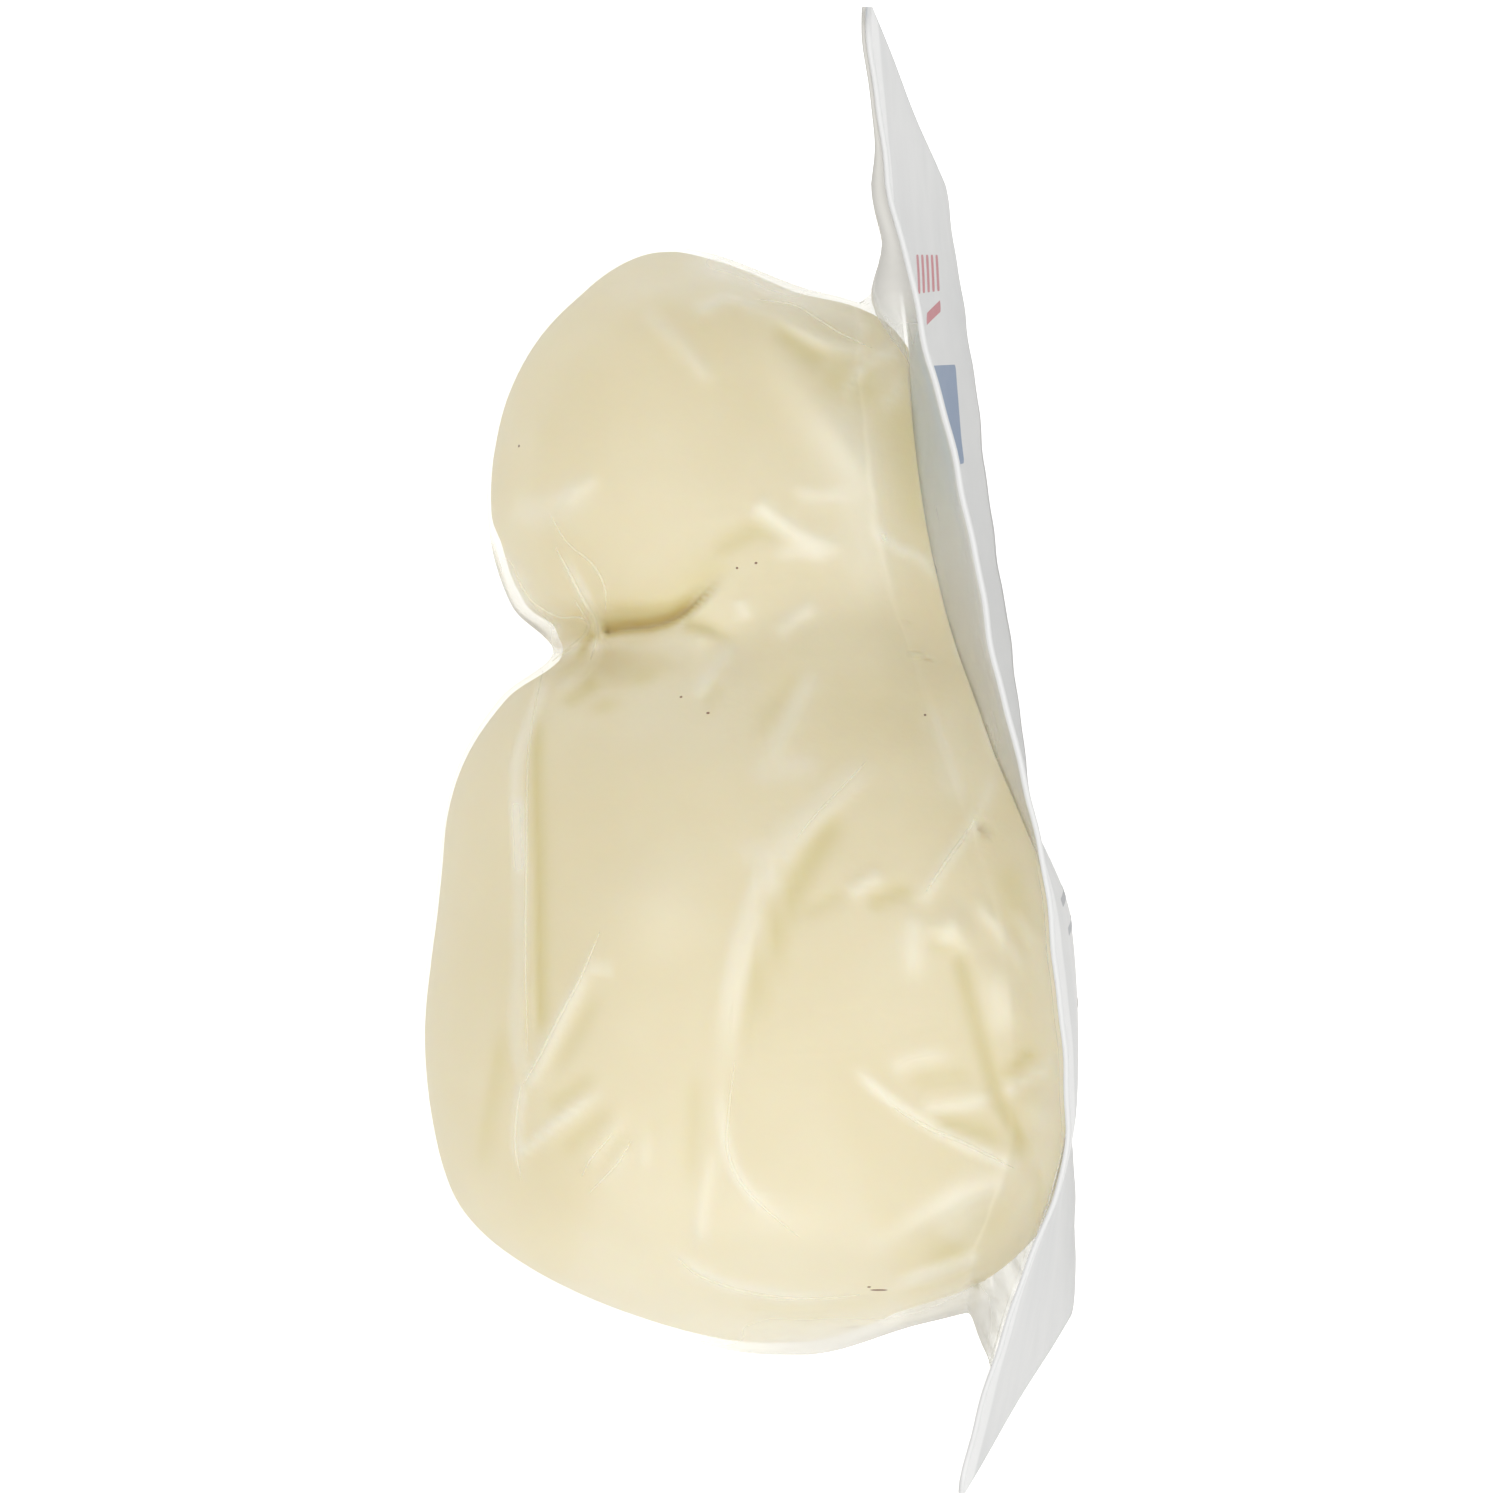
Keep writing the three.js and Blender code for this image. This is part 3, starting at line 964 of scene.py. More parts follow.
@dataclass(frozen=True)
class PlateGrid:
    """A thin closed plate that follows the backing sheet, with round corners.

    Attributes:
        along: Steps along Y.
        up: Steps along Z.
    """

    along: int
    up: int

    def places(self) -> tuple[Array, Array]:
        """Y and Z of the plate's grid, with its corners drawn round."""
        half_y, half_z, corner = FORM.length / 2, FORM.height / 2, FORM.corner
        steps_y = np.linspace(-half_y, half_y, self.along + 1)
        y, z = np.meshgrid(steps_y, np.linspace(-half_z, half_z, self.up + 1))
        over_y = (np.abs(y) - half_y + corner) / corner
        over_z = (np.abs(z) - half_z + corner) / corner
        in_corner = (over_y > 0) & (over_z > 0)
        round_y = half_y - corner + corner * over_y * np.sqrt(1 - np.clip(over_z, 0, 1) ** 2 / 2)
        round_z = half_z - corner + corner * over_z * np.sqrt(1 - np.clip(over_y, 0, 1) ** 2 / 2)
        y = np.where(in_corner, np.sign(y) * round_y, y)
        z = np.where(in_corner, np.sign(z) * round_z, z)
        return y.ravel(), z.ravel() + half_z

    def faces(self) -> list[tuple[int, ...]]:
        """Faces of the inner and outer grids and of the rim between them, outwards."""
        wide, count = self.along + 1, (self.along + 1) * (self.up + 1)
        made: list[tuple[int, ...]] = []
        for row in range(self.up):
            for column in range(self.along):
                a = row * wide + column
                b, c, d = a + 1, a + 1 + wide, a + wide
                made.append((a, d, c, b))
                made.append((a + count, b + count, c + count, d + count))
        rim = [*range(self.along), *range(self.along, self.up * wide + self.along, wide)]
        top = self.up * wide
        rim += [*range(top + self.along, top, -1), *range(top, 0, -wide)]
        for here, following in zip(rim, rim[1:] + rim[:1]):
            made.append((here, following, following + count, here + count))
        return made

    def build(self, name: str, inner: Array, outer: Array) -> Piece:
        """Makes the plate.

        Args:
            name: The object's name.
            inner: X of its inner face at each place.
            outer: X of its outer face.

        Returns:
            The closed mesh object.
        """
        y, z = self.places()
        points = np.vstack([np.stack([inner, y, z], 1), np.stack([outer, y, z], 1)])
        return new_piece(name, points, self.faces())


@dataclass(frozen=True)
class SheetWaver:
    """How far the sheet and the flange on it are out of true.

    Attributes:
        edge: Distance from the edges within which the ripples are.
        ripples: Height, turn for each millimetre and phase of each ripple along the edges.
        warp: Height of the broad waves, and their turn for each millimetre of Y and of Z.
        leans: Distance under the raised edge from which the rim leans in.
        lean_starts: Y between which that lean starts.
        lean_ends: Y between which it ends.
    """

    edge: float = 9.0
    ripples: tuple[Triple, ...] = ((0.08, 0.47, 0.8), (0.05, 0.93, 2.1))
    warp: Triple = (0.1, 0.19, 0.11)
    leans: float = 16.0
    lean_starts: Point = (-8.0, 12.0)
    lean_ends: Point = (34.0, 46.0)

    def at(self, y: Array, z: Array) -> Array:
        """How far out along X each place is."""
        near_edge = np.exp(-((np.minimum(z, FORM.height - z) / self.edge) ** 2))
        ripple = sum(height * np.sin(y * turn + phase) for height, turn, phase in self.ripples)
        warp, along, up = self.warp
        beside_head = smoothstep(y, *self.lean_starts) * (1 - smoothstep(y, *self.lean_ends))
        lean = FORM.rim_lean * smoothstep(z, FORM.height - self.leans, FORM.height) * beside_head
        return near_edge * ripple + warp * np.sin(y * along + z * up) - lean


WAVER = SheetWaver()


# Node trees

# Numbers of a Mix node's sockets
MIX_FACTOR = 0
MIX_VALUES = (2, 3)
MIX_COLOURS = (6, 7)
MIXED_COLOUR = 2


class TreeMaker:
    """Adds nodes to a node tree and joins them."""

    def __init__(self, tree: bpy.types.NodeTree) -> None:
        """Takes the tree that the nodes go to."""
        self.tree = tree

    def add(self, kind: str, inputs: dict | None = None, **settings: str | float | bpy.types.ID) -> Node:
        """Adds a node.

        Args:
            kind: Its type.
            inputs: What its inputs get, by name or number: a value, or another node's output.
            settings: Its own properties.

        Returns:
            The node.
        """
        node = self.tree.nodes.new(kind)
        for label, value in settings.items():
            setattr(node, label, value)
        self.feed(node, inputs or {})
        return node

    def feed(self, node: Node, inputs: dict) -> None:
        """Sets a node's inputs.

        Args:
            node: The node.
            inputs: What they get, by name or number: a value, or another node's output.
        """
        for label, value in inputs.items():
            if isinstance(value, Socket):
                self.tree.links.new(value, node.inputs[label])
            else:
                node.inputs[label].default_value = value

    def mix(self, factor: Socket, low: Socket | float, high: Socket | float) -> Socket:
        """Mixes two numbers by a mask."""
        first, second = MIX_VALUES
        return self.add("ShaderNodeMix", {MIX_FACTOR: factor, first: low, second: high}).outputs[0]


def mottle_group() -> ShaderTree:
    """The uneven surface that every finish has: broad patches, and a fine height for a bump.

    Returns:
        The group, with Patch Scale, Grain Scale and Grain Share in, and Patches and Height out.
    """
    made = bpy.data.node_groups.get("uneven_surface")
    if made:
        return made
    tree = bpy.data.node_groups.new("uneven_surface", "ShaderNodeTree")
    for label in ("Patch Scale", "Grain Scale", "Grain Share"):
        tree.interface.new_socket(label, in_out="INPUT", socket_type="NodeSocketFloat")
    for label in ("Patches", "Height"):
        tree.interface.new_socket(label, in_out="OUTPUT", socket_type="NodeSocketFloat")
    maker = TreeMaker(tree)
    given = maker.add("NodeGroupInput").outputs
    place = maker.add("ShaderNodeTexCoord").outputs["Object"]
    broad = {"Vector": place, "Scale": given["Patch Scale"], "Detail": 4.0, "Roughness": 0.55}
    fine = {"Vector": place, "Scale": given["Grain Scale"], "Detail": 2.0}
    patches, grain = (maker.add("ShaderNodeTexNoise", values).outputs["Fac"] for values in (broad, fine))
    spread = maker.add("ShaderNodeMapRange", {"Value": patches, "From Min": 0.3, "From Max": 0.7})
    height = maker.mix(given["Grain Share"], patches, grain)
    maker.add("NodeGroupOutput", {"Patches": spread.outputs["Result"], "Height": height})
    return tree


@dataclass(frozen=True)
class Texture:
    """How uneven a finish is.

    Attributes:
        patch: Scale of its patches.
        grain: Scale of its grain.
        share: Share of the grain in its height.
        rough: Its roughness at the two ends of its range.
        bump: Strength of its bump, and the bump's size in metres.
    """

    patch: float
    grain: float
    share: float
    rough: Point
    bump: Point


class MaterialMaker(TreeMaker):
    """A new material's nodes, with the few connections that every finish needs."""

    def __init__(self, name: str) -> None:
        """Starts an empty tree in a material of that name."""
        self.material = bpy.data.materials.new(name)
        self.material.use_nodes = True
        super().__init__(self.material.node_tree)
        self.tree.nodes.clear()

    def mottle(self, texture: Texture) -> tuple[Socket, Socket]:
        """Places the uneven surface with a texture's sizes, and gives its patches and its height."""
        sizes = {"Patch Scale": texture.patch, "Grain Scale": texture.grain, "Grain Share": texture.share}
        group = self.add("ShaderNodeGroup", sizes, node_tree=mottle_group())
        return group.outputs["Patches"], group.outputs["Height"]

    def bump(self, height: Socket, texture: Texture) -> Socket:
        """The normal that a texture's bump gives."""
        strength, distance = texture.bump
        node = self.add("ShaderNodeBump", {"Height": height, "Strength": strength, "Distance": distance})
        return node.outputs["Normal"]

    def uneven(self, texture: Texture) -> tuple[Socket, dict[str, Socket]]:
        """Places the uneven surface for a shader that it makes rough and bumpy.

        Args:
            texture: How uneven it is.

        Returns:
            Its patches, and the shader's inputs that it feeds.
        """
        patches, height = self.mottle(texture)
        roughness = self.spread(patches, *texture.rough)
        return patches, {"Roughness": roughness, "Normal": self.bump(height, texture)}

    def blend(self, factor: Socket, low: Colour | Socket, high: Colour) -> Socket:
        """Mixes two colours by a mask.

        Args:
            factor: The mask.
            low: Colour where it is 0.
            high: Colour where it is 1.

        Returns:
            The mixed colour.
        """
        first, second = MIX_COLOURS
        start = low if isinstance(low, Socket) else (*low, 1)
        inputs = {MIX_FACTOR: factor, first: start, second: (*high, 1)}
        return self.add("ShaderNodeMix", inputs, data_type="RGBA").outputs[MIXED_COLOUR]

    def math(self, operation: str, *terms: Socket | float, clamp: bool = False) -> Socket:
        """A number worked out from others, kept from 0 to 1 if clamped."""
        inputs = dict(enumerate(terms))
        return self.add("ShaderNodeMath", inputs, operation=operation, use_clamp=clamp).outputs[0]

    def spread(self, value: Socket, low: float, high: float, full: float = 1.0) -> Socket:
        """A value from 0 to full stretched to another range."""
        inputs = {"Value": value, "From Max": full, "To Min": low, "To Max": high}
        return self.add("ShaderNodeMapRange", inputs).outputs["Result"]

    def attribute(self, name: str) -> Socket:
        """A number kept on the mesh's vertices."""
        return self.add("ShaderNodeAttribute", attribute_name=name).outputs["Fac"]

    def camera_ray(self) -> Socket:
        """1 for what the camera sees itself, and 0 for light that has met something."""
        return self.add("ShaderNodeLightPath").outputs["Is Camera Ray"]

    def mixed(self, factor: Socket, first: Node, second: Node) -> Node:
        """Mixes two shaders."""
        return self.add("ShaderNodeMixShader", {0: factor, 1: first.outputs[0], 2: second.outputs[0]})

    def close(self, shader: Node) -> Material:
        """Joins a shader to the output and gives the material."""
        self.add("ShaderNodeOutputMaterial", {"Surface": shader.outputs[0]})
        return self.material

    def close_thin(self, shader: Node, share: float) -> Material:
        """Closes a thin material that the camera sees as solid and that lets light through.

        Args:
            shader: Its shader.
            share: Share of the light that passes.

        Returns:
            The material.
        """
        through = self.math("MULTIPLY_ADD", self.camera_ray(), -share, share)
        return self.close(self.mixed(through, shader, self.add("ShaderNodeBsdfTransparent")))


# Finishes


@dataclass(frozen=True)
class CheeseFinish:
    """Pale, close-textured, slightly translucent stretched-curd cheese.

    Attributes:
        pale: Its colour.
        milky: Its paler patches.
        shallow_shade: Its colour under light painted shade, in valleys.
        deep_shade: Its colour under the deepest painted shade, in creases.
        bloom: Its colour where the film's folds are painted on it as sheen and light.
        translucent: Share of light that goes in under its surface.
        scatter: How far red, green and blue travel there, in metres.
        texture: Its unevenness.
    """

    pale: Colour = (0.785, 0.69, 0.445)
    milky: Colour = (0.81, 0.725, 0.50)
    shallow_shade: Colour = (0.725, 0.63, 0.33)
    deep_shade: Colour = (0.60, 0.43, 0.13)
    bloom: Colour = (0.95, 0.92, 0.80)
    translucent: float = 0.45
    scatter: Colour = (0.0032, 0.0022, 0.0010)
    texture: Texture = Texture(70, 900, 0.35, (0.42, 0.58), (0.25, 0.0004))

    def material(self) -> Material:
        """The material; it reads the vertices' painted shade and painted sheen."""
        make = MaterialMaker("scamorza_cheese")
        patches, uneven = make.uneven(self.texture)
        tint = make.attribute("tint")
        colour = make.blend(patches, self.pale, self.milky)
        # Painted shade: yellower in valleys, and deeper where it is strongest, in creases
        colour = make.blend(make.spread(tint, 0, 2), colour, self.shallow_shade)
        colour = make.blend(make.spread(tint, -1, 1), colour, self.deep_shade)
        # Painted sheen and light where the film folds over the cheese
        colour = make.blend(make.attribute("bloom"), colour, self.bloom)
        inputs = {
            "Base Color": colour,
            "Subsurface Weight": self.translucent,
            "Subsurface Radius": self.scatter,
            "Subsurface Scale": 1.0,
            **uneven,
        }
        return make.close(make.add("ShaderNodeBsdfPrincipled", inputs))


@dataclass(frozen=True)
class FilmFinish:
    """Clear sealed film: see-through, glossy, and whiter where it is folded.

    Attributes:
        name: The material's name.
        clear: What it lets through.
        mirror: Share of light that it mirrors seen straight on and at a glance.
        glance: How late the one changes to the other.
        haze: Least haze anywhere.
        rough_at: Haze from which it is at its roughest.
        thin: Share of its haze that film standing free loses, seen straight on.
        milk: Its colour where it is hazy on the cheese.
        smoke: Its colour where it is hazy and stands free of the cheese.
        texture: Its unevenness, with its roughness where it is smooth and where it is hazy.
    """

    name: str = "clear_film"
    clear: Colour = (0.975, 0.975, 0.965)
    mirror: Point = (0.05, 0.18)
    glance: float = 5.0
    haze: float = 0.012
    rough_at: float = 0.35
    thin: float = 0.85
    milk: Colour = (0.98, 0.97, 0.92)
    smoke: Colour = (0.66, 0.645, 0.60)
    texture: Texture = Texture(140, 520, 0.4, (0.28, 0.5), (0.18, 0.0005))

    def material(self) -> Material:
        """The material; it reads the vertices' haze, how free they stand and where that thins the haze."""
        make = MaterialMaker(self.name)
        _, height = make.mottle(self.texture)
        free = make.attribute("free")
        facing = make.add("ShaderNodeLayerWeight", {"Blend": 0.5}).outputs["Facing"]
        thin = make.spread(make.math("MULTIPLY", facing, facing), 1 - self.thin, 1)
        dense = make.mix(make.attribute("thinned"), 1.0, thin)
        hazy = make.math("MULTIPLY_ADD", make.attribute("haze"), dense, self.haze, clamp=True)
        mirrored = make.spread(make.math("POWER", facing, self.glance), *self.mirror)
        seen = make.math("ADD", mirrored, hazy, clamp=True)
        inputs = {
            "Base Color": make.blend(free, self.milk, self.smoke),
            "Metallic": make.spread(free, 1, 0),
            "Roughness": make.spread(hazy, *self.texture.rough, self.rough_at),
            "Normal": make.bump(height, self.texture),
        }
        glossy = make.add("ShaderNodeBsdfPrincipled", inputs)
        clear = make.add("ShaderNodeBsdfTransparent", {"Color": (*self.clear, 1)})
        return make.close(make.mixed(make.math("MULTIPLY", seen, make.camera_ray()), clear, glossy))


@dataclass(frozen=True)
class SheetFinish:
    """White laminated card with a satin face, through which the print behind it shows faintly, and with
    painted shade on its inner face.

    Attributes:
        white: Its colour.
        grey: Its greyer patches.
        print_and_shade: The print showing through, and the painted shade of the inner face.
        bright: Its raised rim.
        lets_through: Share of light that each of its faces lets through.
        texture: Its unevenness.
    """

    white: Colour = (0.66, 0.66, 0.65)
    grey: Colour = (0.62, 0.625, 0.62)
    print_and_shade: Colour = (0.50, 0.58, 0.66)
    bright: Colour = (0.80, 0.80, 0.79)
    lets_through: float = 0.75
    texture: Texture = Texture(45, 700, 0.3, (0.3, 0.42), (0.12, 0.0004))

    def material(self) -> Material:
        """The material; it reads the vertices' show-through, which holds painted shade too, and rim."""
        make = MaterialMaker("laminated_card")
        patches, uneven = make.uneven(self.texture)
        colour = make.blend(patches, self.white, self.grey)
        # The print showing through, and the painted shade of the inner face
        colour = make.blend(make.attribute("show_through"), colour, self.print_and_shade)
        colour = make.blend(make.attribute("rim"), colour, self.bright)
        card = make.add("ShaderNodeBsdfPrincipled", {"Base Color": colour, **uneven})
        return make.close_thin(card, self.lets_through)


@dataclass(frozen=True)
class InkFinish:
    """A flat printed ink, a little uneven.

    Attributes:
        name: The ink's name.
        full: Its colour.
        thin: Its colour where it is thin.
        lets_through: Share of light that it lets through.
        texture: Its unevenness.
    """

    name: str
    full: Colour
    thin: Colour
    lets_through: float = 0.85
    texture: Texture = Texture(220, 1800, 0.5, (0.32, 0.45), (0.1, 0.0002))

    def material(self) -> Material:
        """The material."""
        make = MaterialMaker(self.name)
        patches, uneven = make.uneven(self.texture)
        colour = make.blend(patches, self.full, self.thin)
        ink = make.add("ShaderNodeBsdfPrincipled", {"Base Color": colour, **uneven})
        return make.close_thin(ink, self.lets_through)


# Geometry Nodes


class GeometryMaker(TreeMaker):
    """A Geometry Nodes tree with named inputs."""

    def __init__(self, name: str) -> None:
        """Starts the tree with a mesh in and a mesh out."""
        super().__init__(bpy.data.node_groups.new(name, "GeometryNodeTree"))
        for way in ("INPUT", "OUTPUT"):
            self.tree.interface.new_socket("Geometry", in_out=way, socket_type="NodeSocketGeometry")
        self.given = self.add("NodeGroupInput")

    def socket(self, label: str, kind: str) -> Socket:
        """Adds a named input and gives its socket inside the tree."""
        self.tree.interface.new_socket(label, in_out="INPUT", socket_type=f"NodeSocket{kind}")
        return self.given.outputs[label]

    def seeds(self) -> Socket:
        """The mesh that the tree is put on."""
        return self.given.outputs[0]

    def kept(self, name: str, kind: str) -> Socket:
        """A value that the seeds' points keep under a name."""
        return self.add("GeometryNodeInputNamedAttribute", {"Name": name}, data_type=kind).outputs[0]

    def finish(self, geometry: Socket) -> GeometryTree:
        """Ends the tree in Realize Instances and Set Material.

        Args:
            geometry: What the tree has made.

        Returns:
            The tree, with the material as its last input.
        """
        realized = self.add("GeometryNodeRealizeInstances", {0: geometry}).outputs[0]
        material = self.socket("Material", "Material")
        dressed = self.add("GeometryNodeSetMaterial", {"Geometry": realized, "Material": material})
        self.add("NodeGroupOutput", {0: dressed.outputs[0]})
        return self.tree


def grown(name: str, seeds: Piece, tree: GeometryTree, values: dict[str, float | Piece]) -> Piece:
    """Runs a tree on an object and keeps the result as a plain mesh.

    Args:
        name: The new object's name.
        seeds: The object that carries the tree; it is removed.
        tree: The tree.
        values: Values of the tree's inputs, by name.

    Returns:
        The new object.
    """
    modifier = seeds.modifiers.new("tree", "NODES")
    modifier.node_group = tree
    for item in tree.interface.items_tree:
        if item.in_out == "INPUT" and item.name in values:
            modifier[item.identifier] = values[item.name]
    return applied(name, seeds)


def print_tree() -> GeometryTree:
    """A tree that repeats a round-cornered field of ink at each point and lays it on the sheet.

    Returns:
        The tree, with the field's size, its turn, the sheet and the ink's height above it as inputs.
    """
    made = bpy.data.node_groups.get("printed_fields")
    if made:
        return made
    maker = GeometryMaker("printed_fields")
    labels = ("Width", "Height", "Corner", "Turn", "Ink Height", "Ray Start")
    wide, tall, corner, turn, above, start = (maker.socket(label, "Float") for label in labels)
    sheet = maker.socket("Sheet", "Object")
    field = maker.add("GeometryNodeCurvePrimitiveQuadrilateral", {"Width": wide, "Height": tall})
    corners = {"Curve": field.outputs[0], "Count": 8, "Radius": corner, "Limit Radius": True}
    rounded = maker.add("GeometryNodeFilletCurve", corners, mode="POLY")
    filled = maker.add("GeometryNodeFillCurve", {0: rounded.outputs[0]})
    finer = maker.add("GeometryNodeSubdivideMesh", {"Mesh": filled.outputs[0], "Level": 3})
    angles = maker.add("ShaderNodeCombineXYZ", {"Z": turn})
    turns = {0: (math.pi / 2, 0, math.pi / 2), 1: angles.outputs[0]}
    stand = maker.add("FunctionNodeRotateRotation", turns, rotation_space="LOCAL")
    spots = {"Points": maker.seeds(), "Instance": finer.outputs[0], "Rotation": stand.outputs[0]}
    fields = maker.add("GeometryNodeInstanceOnPoints", spots)
    realized = maker.add("GeometryNodeRealizeInstances", {0: fields.outputs[0]})
    position = maker.add("GeometryNodeInputPosition").outputs[0]
    place = maker.add("ShaderNodeSeparateXYZ", {0: position}).outputs
    source = maker.add("ShaderNodeCombineXYZ", {"X": start, "Y": place["Y"], "Z": place["Z"]})
    backing = maker.add("GeometryNodeObjectInfo", {"Object": sheet}, transform_space="ORIGINAL")
    aim = {
        "Target Geometry": backing.outputs["Geometry"],
        "Source Position": source.outputs[0],
        "Ray Direction": (-1, 0, 0),
        "Ray Length": 1.0,
    }
    met = maker.add("GeometryNodeRaycast", aim).outputs
    lift = {0: met["Hit Normal"], 1: above, 2: met["Hit Position"]}
    on_sheet = maker.add("ShaderNodeVectorMath", lift, operation="MULTIPLY_ADD").outputs[0]
    laid = maker.add("GeometryNodeSetPosition", {"Geometry": realized.outputs[0], "Position": on_sheet})
    return maker.finish(laid.outputs[0])


# A fleck's least and largest size against its own
FLECK_SIZES = (0.75, 1.25)


def fleck_tree() -> GeometryTree:
    """A tree that sets a small uneven fleck at each point, turned to the surface.

    Returns:
        The tree, with the flecks' flatness and the seed as inputs; it reads the points' size and facing.
    """
    maker = GeometryMaker("rind_flecks")
    flat, seed = maker.socket("Flatness", "Float"), maker.socket("Seed", "Int")
    grain = maker.add("GeometryNodeMeshIcoSphere", {"Subdivisions": 2, "Radius": 0.5})
    squash = maker.add("ShaderNodeCombineXYZ", {"X": 1.0, "Y": 1.0, "Z": flat})
    flake = {"Geometry": grain.outputs[0], "Scale": squash.outputs[0]}
    shape = maker.add("GeometryNodeTransform", flake)
    facing = {"Vector": maker.kept("facing", "FLOAT_VECTOR")}
    upright = maker.add("FunctionNodeAlignRotationToVector", facing, axis="Z")
    least, most = FLECK_SIZES
    chance = maker.add("FunctionNodeRandomValue", {2: least, 3: most, "Seed": seed}, data_type="FLOAT")
    sizes = {0: maker.kept("fleck_size", "FLOAT_VECTOR"), "Scale": chance.outputs[1]}
    uneven = maker.add("ShaderNodeVectorMath", sizes, operation="SCALE")
    spots = {
        "Points": maker.seeds(),
        "Instance": shape.outputs[0],
        "Rotation": upright.outputs[0],
        "Scale": uneven.outputs[0],
    }
    return maker.finish(maker.add("GeometryNodeInstanceOnPoints", spots).outputs[0])


def pleat_tree() -> GeometryTree:
    """A tree that grows a thin rounded pleat along each line of edges.

    Returns:
        The tree, with the number of sides as an input; it reads the points' half_width.
    """
    maker = GeometryMaker("thin_pleats")
    sides = maker.socket("Sides", "Int")
    line = maker.add("GeometryNodeMeshToCurve", {"Mesh": maker.seeds()})
    section = maker.add("GeometryNodeCurvePrimitiveCircle", {"Resolution": sides, "Radius": 1.0})
    sweep = {
        "Curve": line.outputs[0],
        "Profile Curve": section.outputs[0],
        "Scale": maker.kept("half_width", "FLOAT"),
        "Fill Caps": True,
    }
    swept = maker.add("GeometryNodeCurveToMesh", sweep)
    return maker.finish(maker.add("GeometryNodeSetShadeSmooth", {"Geometry": swept.outputs[0]}).outputs[0])


# The pack's pieces


def attach(piece: Piece, material: Material, node: str | None) -> None:
    """Dresses a finished piece and ties it to the frame.

    Args:
        piece: The piece.
        material: Its finish.
        node: The solid that it stands for, or None where it is only laid on one.
    """
    piece.data.materials.clear()
    piece.data.materials.append(material)
    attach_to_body(piece, BODY)
    if node:
        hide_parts(node)
    LOG.info("%s: %d faces", piece.name, len(piece.data.polygons))


@dataclass
class Cheese:
    """The cheese under the film.

    Attributes:
        inset: How far it lies under the film.
        clearance: How far it stays from the table and from the sheet.
        under: How far it stays under its film at least.
        neck: How much further its notch under the head runs in than the film's.
        neck_y: Y of that notch.
        neck_reach: Its reach along Y.
        neck_front: Distances in front of the pack's middle between which it deepens.
        foot_gap: How far it stays short of the film at the foot, beside the sheet and along the end.
        beside_opens: Distances towards the foot between which the gap beside the sheet opens.
        beside_sheet: X against the sheet between which it opens.
        end_opens: Distances towards the foot between which the gap along the end opens.
        end_across: X between which it opens.
        lumps: Size and wavelength of its unevenness.
        fine_lumps: Size and fineness of its finer unevenness against that.
        grid: Its mesh's steps.
        finish: Its finish.
    """

    inset: float = 0.4
    clearance: Point = (0.45, 0.2)
    under: float = 0.12
    neck: float = 0.7
    neck_y: float = 10.8
    neck_reach: float = 3.6
    neck_front: Point = (6.0, 22.0)
    foot_gap: Point = (3.6, 1.4)
    beside_opens: Point = (38.0, 50.0)
    beside_sheet: Point = (-16.0, -3.0)
    end_opens: Point = (48.0, 62.0)
    end_across: Point = (-28.0, 20.0)
    lumps: Point = (0.22, 14.0)
    fine_lumps: Point = (0.3, 3.0)
    grid: LoftGrid = LoftGrid(250, 270)
    finish: CheeseFinish = CheeseFinish()

    def build(self) -> Piece:
        """Makes the cheese's mesh.

        Returns:
            The object, with its painted shade and painted sheen on its vertices.
        """
        cheese = self.grid.build("cheese")
        mesh = cheese.data
        points = self._drawn_in(points_of(mesh))
        move_points(mesh, points)
        normals = normals_of(mesh)
        field = FoldField.over(points, normals)
        size, wavelength = self.lumps
        share, fineness = self.fine_lumps
        uneven = size * wavering(points, wavelength, 1)
        uneven = uneven + share * size * wavering(points, wavelength / fineness, 2)
        points += normals * (uneven - self.inset)[:, None]
        points += fold_directions(normals) * field.cheese[:, None]
        move_points(mesh, FORM.pressed(points, *self.clearance))
        # Painted shade and painted sheen, kept on the vertices for the finish
        set_attribute(mesh, "tint", np.clip(field.tint, 0, 1))
        set_attribute(mesh, "bloom", np.clip(field.haze, 0, 1))
        return cheese

    def _drawn_in(self, points: Array) -> Array:
        """The wrap's points drawn in at the notch and at the foot, where the film stands free."""
        notch = np.exp(-(((points[:, 1] - self.neck_y) / self.neck_reach) ** 2))
        points[:, 0] += self.neck * notch * smoothstep(-points[:, 0], *self.neck_front)
        x, y, z = points.T.copy()
        by_sheet = smoothstep(x - FORM.sheet_x(y, z), *self.beside_sheet)
        beside, end = self.foot_gap
        points[:, 0] -= beside * smoothstep(-y, *self.beside_opens) * by_sheet
        points[:, 1] += end * smoothstep(-y, *self.end_opens) * smoothstep(x, *self.end_across)
        return points

    def settle(self, cheese: Piece, film: Piece) -> None:
        """Presses the cheese under its film wherever the two would touch.

        Args:
            cheese: The cheese.
            film: The film over it.
        """
        surface = surface_of(film)
        points = points_of(cheese.data) * MM
        under = self.under * MM
        for number, point in enumerate(points):
            place, normal, _, _ = surface.find_nearest(point)
            above = (Vector(point) - place).dot(normal) + under
            if above > 0:
                points[number] -= np.array(normal) * above
        move_points(cheese.data, points / MM)

    def dress(self, cheese: Piece) -> None:
        """Gives it its finish and its place in the frame."""
        attach(cheese, self.finish.material(), FILM_NODE)


